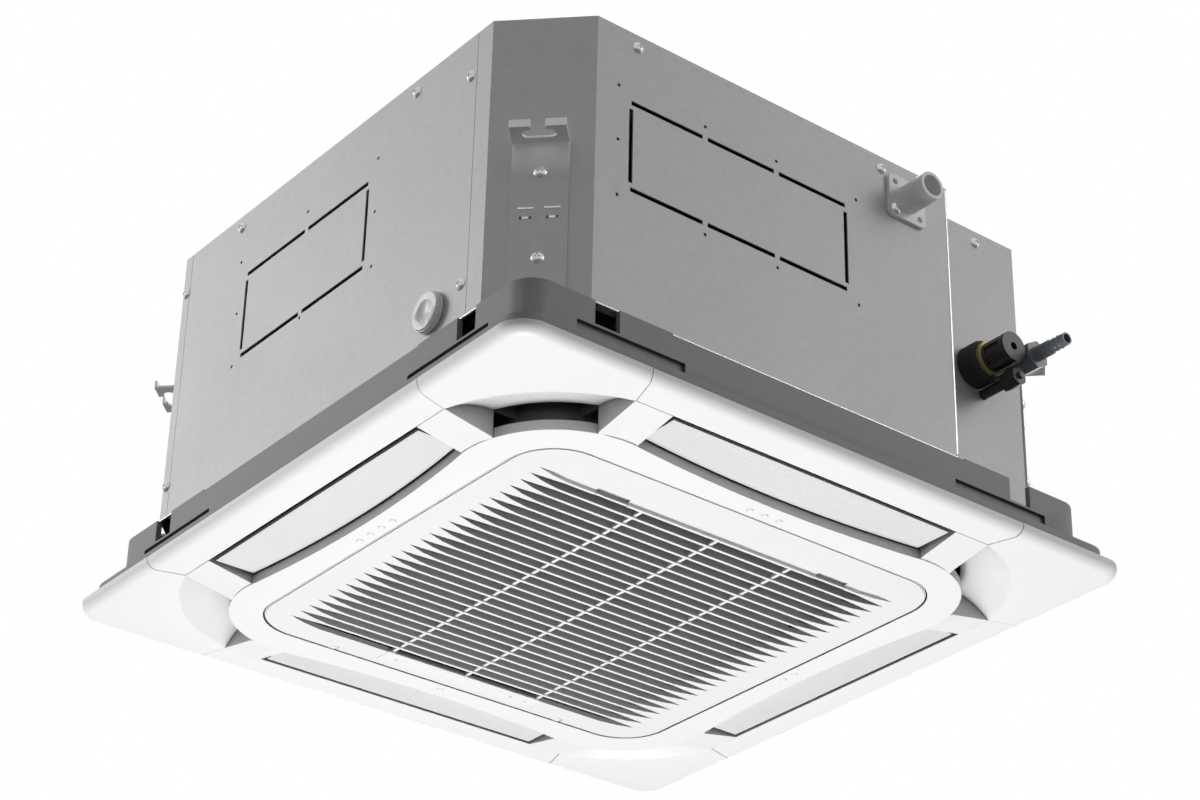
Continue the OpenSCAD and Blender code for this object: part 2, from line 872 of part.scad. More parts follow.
module coil_fins() {
    z0 = bot_z + pan_floor;
    color("lightsteelblue") difference() {
        slab(z0, z0 + coil_h) difference() {
            rounded(coil_half, coil_r);
            rounded(coil_half - coil_t, coil_r - coil_t);
        }
        box(coil_end_x, case_w, coil_end_y, case_w, z0 - over, z0 + coil_h + over);
    }
}

module gas_line() {
    z = top_z - gas_down;
    z0 = bot_z + pan_h + header_r;
    z1 = bot_z + pan_floor + coil_h - coil_t;
    color("peru") {
        difference() {
            rod([header_x, gas_y, z], [step_x - union_in, gas_y, z], gas_od / 2);
            rod([header_x + header_r, gas_y, z], [step_x, gas_y, z], gas_id / 2);
        }
        translate([header_x, gas_y, z0]) cylinder(r = header_r, h = z1 - z0);
        for (i = [0 : feeders - 1])
            rod([coil_end_x, gas_y, z0 + (i + 1) * (z1 - z0) / (feeders + 1)],
                [header_x, gas_y, z0 + (i + 1) * (z1 - z0) / (feeders + 1)], feeder_r);
    }
}

module liquid_line() {
    z = top_z - liquid_down;
    z0 = bot_z + pan_h + header_r;
    z1 = bot_z + pan_floor + coil_h - coil_t;
    end_y = gas_y + coil_row;
    color("peru") {
        rod([liquid_header_x, liquid_y, z], [step_x - union_in, liquid_y, z], liquid_tube_r);
        rod([liquid_header_x, liquid_y, z], [liquid_header_x, liquid_header_y, z], liquid_header_r);
        translate([liquid_header_x, liquid_header_y, z0]) cylinder(r = liquid_header_r, h = z1 - z0);
        for (i = [0 : feeders - 1])
            rod([coil_end_x + 3 * gap, end_y, z0 + (i + 0.5) * (z1 - z0) / feeders],
                [liquid_header_x, liquid_header_y, z0 + (i + 0.5) * (z1 - z0) / feeders],
                feeder_r * 2 / 3);
    }
}

module drain_pan() {
    color("whitesmoke") difference() {
        union() {
            slab(bot_z, bot_z + pan_h) rounded(pan_half, pan_r);
            for (a = [0 : 90 : 270], s = [-1, 1]) rotate(a) pan_lug(s * (outlet_half + cheek) / 2,
                a == 90 && s == 1 ? step_x : case_half);
        }
        translate([0, 0, bot_z - over]) cylinder(r = pan_hole_r + gap, h = pan_h + 2 * over);
        slab(bot_z + pan_floor, bot_z + pan_h + over) difference() {
            rounded(coil_half + trough_out, coil_r + trough_out);
            rounded(coil_half - coil_t - trough_out, coil_r - coil_t - trough_out);
        }
        box(sump[0], sump[1], sump[2], sump[3], bot_z + sump_floor, bot_z + pan_h + over);
    }
}

// Lug that holds the pan off the liner of the side whose sheet is out from the centre
module pan_lug(u, out) {
    box(u - lug_w / 2, u + lug_w / 2, -out + sheet + liner_gap + liner_t,
        -pan_half + sump_wall / 2, bot_z, bot_z + lug_h);
}

module bell_mouth() {
    z = bot_z - bell_t + bell_arc;
    color("gray") rotate_extrude() {
        translate([throat_d / 2, z]) square([bell_t, bot_z + bell_up - z]);
        translate([pan_hole_r, bot_z - bell_t]) square([bell_lip, bell_t]);
        intersection() {
            difference() {
                translate([pan_hole_r, z]) circle(bell_arc);
                translate([pan_hole_r, z]) circle(bell_arc - bell_t);
            }
            translate([throat_d / 2, z - bell_arc]) square([bell_arc, bell_arc]);
        }
    }
}

module turbo_fan() {
    r = fan_d / 2;
    z1 = fan_z + fan_h;
    color("dimgray") difference() {
        union() {
            rotate_extrude() polygon([
                [0, z1 - hub_drop], [hub_r, z1 - hub_drop], [hub_r, z1 - hub_drop + hub_h / 2],
                [cone_share * r, z1 - fan_plate_t], [r, z1 - fan_plate_t], [r, z1],
                [cone_share * r - fan_plate_t, z1], [hub_r, z1 - hub_drop + hub_h],
                [0, z1 - hub_drop + hub_h]]);
            rotate_extrude() polygon([
                [inlet_r, fan_z], [inlet_r + shroud_t, fan_z],
                [inlet_r + 2 * shroud_t, fan_z + shroud_rise / 2],
                [r, fan_z + shroud_rise], [r, fan_z + shroud_rise + shroud_t],
                [inlet_r + shroud_t, fan_z + shroud_rise / 2 + shroud_t]]);
            for (i = [0 : blades - 1]) rotate(i * 360 / blades)
                slab(fan_z + shroud_rise - shroud_t, z1 - fan_plate_t / 2) blade_shape();
        }
        translate([0, 0, z1 - hub_drop - over])
            cylinder(d = shaft_d + 2 * run_fit, h = hub_h + 2 * over);
    }
}

// One backward-curved blade
module blade_shape() {
    r = fan_d / 2;
    intersection() {
        difference() {
            circle(r - fan_edge);
            circle(blade_in_share * r);
        }
        translate([blade_off_share * r, -blade_curve_share * r]) difference() {
            circle(r - fan_edge);
            circle(r - fan_edge - blade_t);
        }
        translate([blade_in_share * r / 2, 0]) square([r, r]);
    }
}

module fan_motor() {
    z0 = fan_z + fan_h + motor_gap;
    color("darkgray") difference() {
        union() {
            translate([0, 0, z0]) cylinder(r = motor_r, h = top_z - sheet - z0);
            translate([0, 0, top_z - sheet - motor_flange_t])
                cylinder(r = motor_flange_r, h = motor_flange_t);
        }
        translate([0, 0, z0 - over]) cylinder(d = shaft_d + 2 * run_fit, h = shaft_in + over);
        motor_screw_bores(hole_r);
    }
}

module fan_shaft() {
    z0 = fan_z + fan_h - hub_drop - shaft_below;
    color("silver") translate([0, 0, z0])
        cylinder(d = shaft_d, h = fan_z + fan_h + motor_gap + shaft_in - gap - z0);
}

module fan_nut() {
    z1 = fan_z + fan_h - hub_drop;
    color("silver") translate([0, 0, z1 - nut_h]) difference() {
        cylinder(d = nut_af * 2 / sqrt(3), h = nut_h, $fn = 6);
        translate([0, 0, -over]) cylinder(d = shaft_d + 2 * run_fit, h = nut_h + 2 * over);
    }
}

module drain_pump() {
    z0 = bot_z + sump_floor;
    z1 = z0 + pump_strainer_h;
    zn = z1 + pump_nozzle_up;
    color("whitesmoke") {
        translate([pump_x, pump_y, z0]) cylinder(r = pump_strainer_r, h = pump_strainer_h);
        translate([pump_x, pump_y, z1]) cylinder(r = pump_r, h = pump_h);
        translate([pump_x, pump_y, z1 + pump_h]) cylinder(r = pump_motor_r, h = pump_motor_h);
        rod([pump_x, pump_y, zn], [pump_x, socket_y, zn], drain_id / 3);
        translate([pump_x, socket_y, zn - drain_id / 2])
            cylinder(r = drain_id / 2 - run_fit, h = drain_id * nozzle_share);
    }
}

module drain_hose() {
    z0 = bot_z + sump_floor + pump_strainer_h + pump_nozzle_up + drain_id / 3 + gap;
    z = top_z - socket_down;
    r = drain_id / 2;
    color("gray") difference() {
        union() {
            rod([pump_x, socket_y, z0], [pump_x, socket_y, z], r + hose_wall);
            translate([pump_x, socket_y, z]) sphere(r + hose_wall);
            rod([pump_x, socket_y, z], [case_half - socket_in, socket_y, z], r + hose_wall);
        }
        rod([pump_x, socket_y, z0 - over], [pump_x, socket_y, z], r);
        translate([pump_x, socket_y, z]) sphere(r);
        rod([pump_x, socket_y, z], [case_half - socket_in + over, socket_y, z], r);
    }
}

module float_stem() {
    z0 = bot_z + sump_floor;
    z1 = z0 + float_base_h + float_seat + float_h + float_travel + float_seat;
    color("whitesmoke") translate([float_x, float_y, 0]) {
        translate([0, 0, z0]) cylinder(r = float_base_r, h = float_base_h);
        translate([0, 0, z0]) cylinder(r = float_stem_r, h = z1 + float_stop_h - z0);
        translate([0, 0, z1]) cylinder(r = float_stop_r, h = float_stop_h);
    }
}

module float_ring() {
    z0 = bot_z + sump_floor + float_base_h + float_seat;
    color("orange") translate([float_x, float_y, z0]) difference() {
        cylinder(r = float_r, h = float_h);
        translate([0, 0, -over]) cylinder(r = float_stem_r + float_fit, h = float_h + 2 * over);
    }
}

module control_box() {
    z1 = bot_z - bell_t;
    color("silver") difference() {
        box(-box_x, box_x, box_y[0], box_y[1], z1 - box_h, z1);
        box(-box_x + box_wall, box_x - box_wall, box_y[0] + box_wall, box_y[1] - box_wall,
            z1 - box_h - over, z1 - box_wall);
    }
    color("silver") for (s = [-1, 1])
        box(s * box_x / 2 - board_post, s * box_x / 2 + board_post, box_y[1] - board_post,
            box_y[1], z1 - box_wall, bot_z);
}

module control_lid() {
    z0 = bot_z - bell_t - box_h;
    color("silver") box(-box_x, box_x, box_y[0], box_y[1], z0 - box_lid_t, z0);
}

module control_board() {
    z1 = bot_z - bell_t - box_wall;
    inset = board_in;
    color("green") {
        box(-box_x + inset, box_x / 4, box_y[0] + inset, box_y[1] - inset,
            z1 - board_post - board_t, z1 - board_post);
        for (x = [-box_x * 3 / 4, 0]) translate([x, (box_y[0] + box_y[1]) / 2, z1 - board_post])
            cylinder(r = board_post / 2, h = board_post);
        for (i = [0 : 3])
            box(-box_x * 3 / 4 + i * part_pitch, -box_x * 3 / 4 + i * part_pitch + part_h,
                box_y[0] + 2 * part_h, box_y[0] + 3 * part_h, z1 - board_post - board_t - part_h,
                z1 - board_post - board_t);
    }
}

module terminal_block() {
    z1 = bot_z - bell_t - box_wall;
    x0 = box_x - terminal_w - board_post;
    color("white") difference() {
        box(x0, x0 + terminal_w, box_y[0] + board_post, box_y[1] - board_post, z1 - terminal_h, z1);
        for (i = [0 : 3]) box(x0 + box_wall + (i + 0.25) * terminal_pitch,
            x0 + box_wall + (i + 0.75) * terminal_pitch, box_y[0] + 2 * board_post,
            box_y[1] - 2 * board_post, z1 - terminal_h - over, z1 - terminal_h / 2);
    }
}

// Angled seam beside a corner cover, in shares of the rim's width from the outlet's edge out
function seam_x(t) = cheek + t * (panel_half - outlet_out) * seam_shares[0];

// Corner cover's outline in the corner +X +Y, grown by d
module cover_area(d) {
    m = panel_half + over;
    polygon([[cheek - d, outlet_out - over], [cheek - d, outlet_out],
        [seam_x(seam_shares[1]) - d, outlet_out + seam_shares[1] * (panel_half - outlet_out)],
        [seam_x(1) - d, m], [m, m], [m, seam_x(1) - d],
        [outlet_out + seam_shares[1] * (panel_half - outlet_out), seam_x(seam_shares[1]) - d],
        [outlet_out, cheek - d], [outlet_out - over, cheek - d], [cheek - d, cheek - d]]);
}

// Outer edge of all outlets: straight sides with large round corners
module outlet_edge() {
    intersection() {
        square(2 * outlet_out, center = true);
        union() {
            square([2 * outlet_out, 2 * cheek], center = true);
            square([2 * cheek, 2 * outlet_out], center = true);
            for (sx = [-1, 1], sy = [-1, 1])
                translate([sx * arc_centre, sy * arc_centre]) circle(arc_r);
        }
    }
}

// White plate with its rolled edge, over the whole panel
module rolled_plate() {
    k = panel_half - panel_r;
    difference() {
        slab(face_z, face_z + skin_t) square(2 * k, center = true);
        slab(face_z - over, face_z + skin_t + over) outlet_edge();
    }
    for (a = [0 : 90 : 270]) rotate(a) {
        translate([k, k, 0]) rotate_extrude(angle = 90) roll_profile();
        translate([k, k, 0]) rotate([90, 0, 0]) linear_extrude(2 * k) roll_profile();
    }
}

// Section of the rolled edge: x from the corner's centre out, y is the height
module roll_profile() {
    difference() {
        union() {
            translate([0, face_z]) square([panel_r - roll_r, skin_t]);
            translate([panel_r - skin_t, face_z + roll_r]) square([skin_t, rim_h - roll_r]);
            intersection() {
                translate([panel_r - roll_r, face_z + roll_r]) circle(roll_r);
                translate([panel_r - roll_r, face_z]) square(roll_r);
            }
        }
        translate([panel_r - roll_r, face_z + roll_r]) circle(roll_r - skin_t);
    }
}

module face_panel() {
    color("white") {
        difference() {
            rolled_plate();
            for (a = [0 : 90 : 270]) rotate(a) slab(face_z - over, rim_z + over)
                cover_area(cover_gap);
        }
        slab(face_z + skin_t, face_z + skin_t + band_t) difference() {
            rounded(flange_half, frame_r);
            square(2 * band_in, center = true);
        }
    }
}

// Corner cover of the corner that is a degrees round from +X +Y, with its air scoop
module corner_cover(a) {
    curve = (pow(arc_r - wall_r, 2) + pow(scoop_rise, 2)) / (2 * scoop_rise);
    z_top = face_z + scoop_rise;
    color("white") rotate(a) {
        intersection() {
            rolled_plate();
            slab(face_z - over, rim_z + over) cover_area(0);
        }
        intersection() {
            translate([arc_centre, arc_centre, 0]) rotate_extrude(angle = 90) intersection() {
                difference() {
                    translate([wall_r, z_top - curve]) circle(curve + skin_t);
                    translate([wall_r, z_top - curve]) circle(curve);
                }
                translate([wall_r, face_z]) square([arc_r - wall_r + over, scoop_rise + skin_t]);
            }
            box(cheek + gap, outlet_out + roll_r, cheek + gap, outlet_out + roll_r, face_z,
                z_top + skin_t);
        }
    }
}

// Outline of the centre ring, inset by d
module ring_outline(d) {
    c = ring_half - waist_half;
    big = (pow(waist_chord, 2) + pow(c, 2)) / (2 * c);
    difference() {
        rounded(ring_half - d, ring_r - d);
        for (a = [0 : 90 : 270]) rotate(a) translate([0, -waist_half - big]) circle(big + d, $fn = 256);
    }
}

module centre_ring() {
    z_wall = face_z + scoop_rise;
    color("white") difference() {
        union() {
            slab(ring_z, ring_z + skin_t) difference() {
                ring_outline(0);
                rounded(grille_half + edge_gap, grille_r + edge_gap);
            }
            slab(ring_z, face_z) difference() {
                ring_outline(0);
                ring_outline(ring_wall);
            }
            for (a = [0 : 90 : 270]) rotate(a) for (s = [-1, 1]) scale([s, 1, 1]) bridge(z_wall);
            hinge_lugs();
            latch_pads();
            dots();
        }
        for (a = [0 : 90 : 270]) rotate(a)
            translate([-outlet_half - 2 * web_t, -flap_axis, face_z + flap_up]) rotate([0, 90, 0])
                cylinder(d = flap_pin_d + 2 * run_fit, h = 2 * outlet_half + 4 * web_t);
        hinge_bores();
    }
}

// Sloped bridge between a flap's end and a corner scoop, with its two side walls
module bridge(z_wall) {
    y0 = -outlet_out + gap;
    y1 = -ring_half + bridge_in;
    slope = (ring_drop - bridge_in) / (y1 - y0);
    difference() {
        translate([outlet_half, 0, 0]) rotate([90, 0, 90]) linear_extrude(cheek - outlet_half)
            polygon([[y0, face_z], [y1, face_z - (y1 - y0) * slope], [y1 + ring_wall, ring_z],
                [y1 + ring_wall, z_wall], [y0, z_wall]]);
        translate([outlet_half + web_t, 0, 0]) rotate([90, 0, 90])
            linear_extrude(cheek - outlet_half - 2 * web_t)
            polygon([[y0 - over, face_z + skin_t], [y1, face_z + skin_t - (y1 - y0) * slope],
                [y1 + 2 * ring_wall, ring_z + skin_t], [y1 + 2 * ring_wall, z_wall + over],
                [y0 - over, z_wall + over]]);
    }
}

// Dots that number the four outlets
module dots() {
    for (i = [0 : 3]) rotate(90 * i)
        for (j = [0 : 3 - i]) translate([(j - (3 - i) / 2) * dot_pitch, -dot_at, ring_z - dot_h]) {
            cylinder(r1 = dot_r - dot_h, r2 = dot_r, h = dot_h);
            translate([0, 0, dot_h]) cylinder(r = dot_r, h = skin_t / 2);
        }
}

// Grille hinge on the left edge: axis place and the lugs of the ring
hinge_x = -grille_half + hinge_in;
hinge_z = ring_z + hinge_lug_r;

module hinge_lugs() {
    for (s = [-1, 1]) translate([0, s * hinge_y - hinge_lug_w / 2, 0]) {
        translate([hinge_x, 0, hinge_z]) rotate([-90, 0, 0])
            cylinder(r = hinge_lug_r, h = hinge_lug_w);
        translate([-grille_half - edge_gap - skin_t, 0, ring_z + edge_break])
            cube([hinge_in + edge_gap + skin_t, hinge_lug_w, 2 * (hinge_lug_r - edge_break)]);
    }
}

// Pads on the ring's back that the latches' tongues reach over
module latch_pads() {
    z1 = ring_z + grille_t;
    for (y = latch_shares * grille_half)
        box(grille_half + edge_gap, divider_half - 2 * divider_t, y - latch_tongue_w / 2 - wall_t,
            y + latch_tongue_w / 2 + wall_t, ring_z + skin_t / 2, z1);
}

module hinge_bores() {
    for (s = [-1, 1]) translate([hinge_x, s * hinge_y - hinge_lug_w, hinge_z])
        rotate([-90, 0, 0]) cylinder(r = hinge_pin_r + run_fit, h = 2 * hinge_lug_w);
}

module panel_frame() {
    z_wall = face_z + scoop_rise;
    z_flange = face_z + skin_t + band_t;
    h = frame_half;
    color("gray") difference() {
        union() {
            slab(z_flange, bot_z) difference() {
                rounded(h, frame_r);
                rounded(h - frame_t, frame_r - frame_t);
            }
            slab(z_flange, rim_z + flange_rise) difference() {
                rounded(flange_half, frame_r);
                rounded(h - frame_t, frame_r - frame_t);
            }
            slab(ring_z + skin_t, bot_z) difference() {
                rounded(divider_half, divider_r);
                rounded(divider_half - divider_t, divider_r - divider_t);
            }
            for (a = [0 : 90 : 270]) rotate(a) {
                for (s = [-1, 1], x = [outlet_half, cheek - web_t])
                    box(s > 0 ? x : -x - web_t, s > 0 ? x + web_t : -x, -h + frame_t / 2,
                        -divider_half + divider_t / 2, z_wall, bot_z);
                corner_wall(z_wall);
            }
        }
        for (a = [0 : 90 : 270]) rotate(a) {
            for (s = [-1, 1]) {
                box(s * notch_at - notch_w / 2, s * notch_at + notch_w / 2, -h - over,
                    -h + frame_t + over, bot_z - notch_h, bot_z + over);
                box(s > 0 ? back_slot[0] : -back_slot[1], s > 0 ? back_slot[1] : -back_slot[0],
                    -h - over, -h + back_slot_d, rim_z + flange_rise,
                    rim_z + flange_rise + back_slot_h);
            }
            box(-mid_half, mid_half, -h - over, -h + frame_t + over, bot_z - mid_drop, bot_z + over);
            rotate(45) translate([0, -bolt_at, z_flange - over])
                cylinder(r = bolt_hole_r, h = hang_t - hang_len - z_flange + 2 * over);
        }
    }
}

// Round wall behind a corner scoop, its floor out to the frame, and the boss for the panel bolt
module corner_wall(z_wall) {
    h = frame_half;
    z0 = z_wall + skin_t + gap;
    slab(z0, bot_z) intersection() {
        translate([arc_centre, arc_centre]) difference() {
            circle(wall_r + web_t);
            circle(wall_r);
        }
        translate([cheek - web_t / 2, cheek - web_t / 2]) square(h - cheek);
    }
    slab(z0, z0 + web_t) difference() {
        translate([cheek - web_t / 2, cheek - web_t / 2]) square(h - cheek - frame_t / 2 + web_t / 2);
        translate([arc_centre, arc_centre]) circle(wall_r);
    }
    rotate(135) translate([0, -bolt_at, z0]) cylinder(r = boss_r, h = hang_t - hang_len - z0);
}

module panel_bolts() {
    z0 = face_z + scoop_rise + skin_t + gap;
    color("silver") for (a = [45 : 90 : 315]) rotate(a) translate([0, -bolt_at, 0]) {
        translate([0, 0, z0 - bolt_head_h]) cylinder(r = bolt_head_r, h = bolt_head_h, $fn = 6);
        translate([0, 0, z0 - over]) cylinder(r = shank_r, h = 2 * hang_t - hang_len - z0 + 3 * over);
    }
}

// Flap of the side that is a degrees round, closed
module flap(a) {
    c = ring_half - waist_half;
    big = (pow(waist_chord, 2) + pow(c, 2)) / (2 * c);
    zc = face_z + flap_up;
    y_out = outlet_out - flap_edge;
    boss = flap_pin_d / 2 + boss_wall_flap;
    color("gainsboro") rotate(a) {
        slab(face_z, face_z + flap_t) intersection() {
            translate([-flap_half, -y_out]) square([2 * flap_half, y_out - waist_half]);
            translate([0, -waist_half - big]) circle(big - flap_gap, $fn = 256);
        }
        for (s = [-1, 0, 1]) {
            x0 = s * (flap_half - arm_t / 2) - arm_t / 2;
            translate([x0, -flap_axis, zc]) rotate([0, 90, 0]) cylinder(r = boss, h = arm_t);
            box(x0, x0 + arm_t, -flap_axis - boss, -flap_axis + boss - over,
                face_z + flap_t - flap_t / 2, zc);
        }
        for (i = [1 : 3]) box(-flap_half + arm_t / 2, flap_half - arm_t / 2,
            -flap_axis - boss - i * (y_out - flap_axis - boss - flap_rib_w) / 3,
            -flap_axis - boss - i * (y_out - flap_axis - boss - flap_rib_w) / 3 + flap_rib_w,
            face_z + flap_t / 2, face_z + flap_t + flap_rib_h / i);
        translate([-flap_half - pin_out, -flap_axis, zc]) rotate([0, 90, 0])
            cylinder(d = flap_pin_d, h = pin_out + arm_t / 2);
        translate([flap_half - arm_t / 2, -flap_axis, zc]) rotate([0, 90, 0])
            cylinder(d = flap_pin_d, h = pin_motor + arm_t / 2);
    }
}

// Stepper motor of a flap, behind the bridge at the flap's end
module flap_motor(a) {
    x0 = outlet_half + web_t;
    color("silver") rotate(a) translate([x0, -flap_axis, face_z + flap_up]) rotate([0, 90, 0])
        difference() {
            cylinder(d = motor_d, h = motor_l);
            translate([0, 0, -over]) cylinder(d = flap_pin_d + 2 * run_fit, h = motor_l);
        }
}

// Slot of the grille with its tapered tips, drawn along Y from its -X edge
module slot_shape(w) {
    tip_len = slot_tip - slot_open + tip_d * 2;
    polygon([[0, -slot_tip + tip_len], [w / 4, -slot_tip + tip_len / 2], [w * 3 / 4, -slot_tip],
        [w, -slot_tip + tip_len], [w, slot_tip - tip_len], [w * 3 / 4, slot_tip],
        [w / 4, slot_tip - tip_len / 2], [0, slot_tip - tip_len]]);
}

// The -X edge of a slot, and the outermost slot, which carries the latches
function slot_x(i) = slots_from + i * slot_pitch;
latch_x = slot_x(slots - 1) - bar_w;

module suction_grille() {
    z1 = ring_z + grille_t;
    w = grille_half - wall_in;
    color("white") difference() {
        union() {
            difference() {
                union() {
                    slab(ring_z, z1) rounded(grille_half - edge_break, grille_r - edge_break);
                    slab(ring_z + edge_break, z1) rounded(grille_half, grille_r);
                }
                for (i = [0 : slots - 2]) translate([slot_x(i), 0, 0])
                    slab(ring_z - over, z1 + over) slot_shape(grille_slot_w);
                translate([slot_x(slots - 1), 0, 0])
                    slab(ring_z - over, ring_z + latch_slot_d) slot_shape(latch_slot_w);
            }
            for (y = rib_shares * grille_half)
                box(slot_x(0) - rib_w, latch_x + bar_w / 2, y - rib_w / 2, y + rib_w / 2,
                    ring_z + rib_drop, z1);
            for (i = [1 : slots - 2])
                box(slot_x(i) - bar_w, slot_x(i), -slot_open, slot_open, z1 - over, ring_z + blade_h);
            slab(z1 - over, ring_z + wall_h) difference() {
                rounded(w, grille_r - wall_in);
                rounded(w - wall_t, grille_r - wall_in - wall_t);
            }
        }
        for (s = [-1, 1]) difference() {
            box(-grille_half - over, hinge_x + hinge_lug_r + hinge_gap,
                s * hinge_y - hinge_lug_w / 2 - gap, s * hinge_y + hinge_lug_w / 2 + gap,
                ring_z - over, ring_z + wall_h + over);
            translate([hinge_x, s * hinge_y - hinge_notch, hinge_z]) rotate([-90, 0, 0])
                cylinder(r = hinge_pin_r, h = 2 * hinge_notch);
        }
        for (y = latch_shares * grille_half) {
            box(latch_x, latch_x + bar_w + latch_travel + gap, y - latch_w / 2 - gap,
                y + latch_w / 2 + gap, ring_z - over, ring_z + wall_h);
            box(latch_x, grille_half + over, y - latch_tongue_w / 2 - gap,
                y + latch_tongue_w / 2 + gap, z1, z1 + latch_tongue_t + 2 * gap);
        }
        box(-strip_at - strip_w / 2, -strip_at + strip_w / 2, -strip_l / 2, strip_l / 2,
            ring_z - over, ring_z + strip_t - strip_proud);
    }
}

// Sliding latch, drawn unlocked: a piece of the last bar, with a cover and a tongue above the plate
module latch(y) {
    z1 = ring_z + grille_t + gap;
    color("white") translate([0, y, 0]) {
        box(latch_x + gap, latch_x + bar_w, -latch_w / 2, latch_w / 2, ring_z,
            z1 + latch_tongue_t / 2);
        box(latch_x + gap, latch_x + bar_w + latch_travel + latch_cover, -latch_w / 2, latch_w / 2,
            z1, z1 + latch_tongue_t / 2);
        box(latch_x + gap, grille_half + edge_gap - latch_short, -latch_tongue_w / 2,
            latch_tongue_w / 2, z1, z1 + latch_tongue_t);
    }
}

module receiver_strip() {
    color("white") difference() {
        box(-strip_at - strip_w / 2, -strip_at + strip_w / 2, -strip_l / 2, strip_l / 2,
            ring_z - strip_proud, ring_z + strip_t - strip_proud);
        for (y = lamp_shares * strip_l) translate([-strip_at, y, ring_z - strip_proud - over])
            cylinder(r = lamp_r, h = over + strip_proud);
    }
}

module air_filter() {
    h = grille_half - wall_in - wall_t - filter_gap;
    r = grille_r - wall_in - wall_t - filter_gap;
    z0 = ring_z + blade_h;
    color("dimgray") slab(z0, z0 + filter_t) difference() {
        union() {
            difference() {
                rounded(h, r);
                rounded(h - filter_frame, r - filter_frame);
            }
            for (i = [1 : filter_bars - 1]) {
                p = -h + i * 2 * h / filter_bars;
                translate([p - filter_bar / 2, -h + filter_frame / 2])
                    square([filter_bar, 2 * h - filter_frame]);
                translate([-h + filter_frame / 2, p - filter_bar / 2])
                    square([2 * h - filter_frame, filter_bar]);
            }
        }
        for (y = latch_shares * grille_half) translate([latch_x - gap, y - latch_w / 2 - gap])
            square([grille_half, latch_w + 2 * gap]);
    }
}

top_plate();
side_panel_front();
side_panel_right();
side_panel_back();
side_panel_left();
piping_panel();
hanger(45);  // hanger_near
hanger(135, short_base);  // hanger_right
hanger(225);  // hanger_far
hanger(315);  // hanger_left
casing_screws();
water_plug();
drain_socket();
pipe_sleeve();
gas_union();
gas_nut();
liquid_coupling();
bleed_valve();
casing_liner();
coil_fins();
gas_line();
liquid_line();
drain_pan();
bell_mouth();
turbo_fan();
fan_motor();
fan_shaft();
fan_nut();
drain_pump();
drain_hose();
float_ring();
float_stem();
control_box();
control_lid();
control_board();
terminal_block();
panel_frame();
face_panel();
corner_cover(270);  // corner_cover_near
corner_cover(0);  // corner_cover_right
corner_cover(90);  // corner_cover_far
corner_cover(180);  // corner_cover_left
centre_ring();
flap(0);  // flap_front
flap(90);  // flap_right
flap(180);  // flap_back
flap(270);  // flap_left
flap_motor(0);  // flap_motor_front
flap_motor(90);  // flap_motor_right
flap_motor(180);  // flap_motor_back
flap_motor(270);  // flap_motor_left
suction_grille();
air_filter();
receiver_strip();
latch(latch_shares[0] * grille_half);  // latch_front
latch(latch_shares[1] * grille_half);  // latch_back
panel_bolts();
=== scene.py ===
# %% [markdown]
# # A ceiling cassette air conditioner, seen from below
# The unit hangs above a room's ceiling: a grey sheet metal casing with a square white panel under
# it. The CAD model already gives every solid its size and place, so this script dresses it: soft
# edges on the moulded parts, fine ribs on the flaps, a mesh in the filter, and a finish made of
# nodes for each material. Everything is in metres, in the CAD model's own frame, so a piece goes
# where its solid is.

import json
import math

import bmesh
import bpy
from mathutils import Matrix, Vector


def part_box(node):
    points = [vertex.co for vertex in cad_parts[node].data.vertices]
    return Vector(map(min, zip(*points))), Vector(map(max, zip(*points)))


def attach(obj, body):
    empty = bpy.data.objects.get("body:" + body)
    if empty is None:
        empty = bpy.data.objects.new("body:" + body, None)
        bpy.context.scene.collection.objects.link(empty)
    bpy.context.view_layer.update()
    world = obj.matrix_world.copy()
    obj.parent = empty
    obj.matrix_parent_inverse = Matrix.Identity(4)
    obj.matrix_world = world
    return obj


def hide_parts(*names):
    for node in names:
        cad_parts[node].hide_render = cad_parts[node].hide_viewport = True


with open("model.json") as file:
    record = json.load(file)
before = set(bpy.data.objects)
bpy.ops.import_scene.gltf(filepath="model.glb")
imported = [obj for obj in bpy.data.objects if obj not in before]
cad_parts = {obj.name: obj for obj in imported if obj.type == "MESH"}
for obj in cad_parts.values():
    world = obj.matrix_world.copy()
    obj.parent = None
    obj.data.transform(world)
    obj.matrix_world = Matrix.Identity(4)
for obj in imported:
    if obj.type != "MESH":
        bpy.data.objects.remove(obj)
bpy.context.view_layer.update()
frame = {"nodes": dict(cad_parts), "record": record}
body_of_node = {node: body for body, nodes in frame["record"]["behaviour"]["bodies"].items()
                for node in nodes}

# %% [markdown]
# ## The camera
# The photograph looks up at the unit from its near corner, from about two and a half metres away.
# A long lens keeps the edges almost parallel. The angles and the small shift come from lining up
# the casing's corners with the picture, so they are written down as they were measured.

# %% Camera
AZIMUTH = math.radians(49.84)
ELEVATION = math.radians(-29.91)
toward_camera = Vector((math.sin(AZIMUTH) * math.cos(ELEVATION),
                        -math.cos(AZIMUTH) * math.cos(ELEVATION), math.sin(ELEVATION)))
lens = bpy.data.cameras.new("camera")
lens.lens = 87.17
lens.sensor_width = 36.0
lens.shift_x = -0.0931
lens.shift_y = -0.0114
lens.clip_start = 0.01
camera = bpy.data.objects.new("camera", lens)
camera.location = (1.72682, -1.32856, -1.25669)
camera.rotation_euler = (-toward_camera).to_track_quat("-Z", "Y").to_euler()
bpy.context.scene.collection.objects.link(camera)
bpy.context.scene.camera = camera
bpy.context.scene.view_settings.view_transform = "Standard"
print("camera looks along", tuple(round(v, 3) for v in -toward_camera))

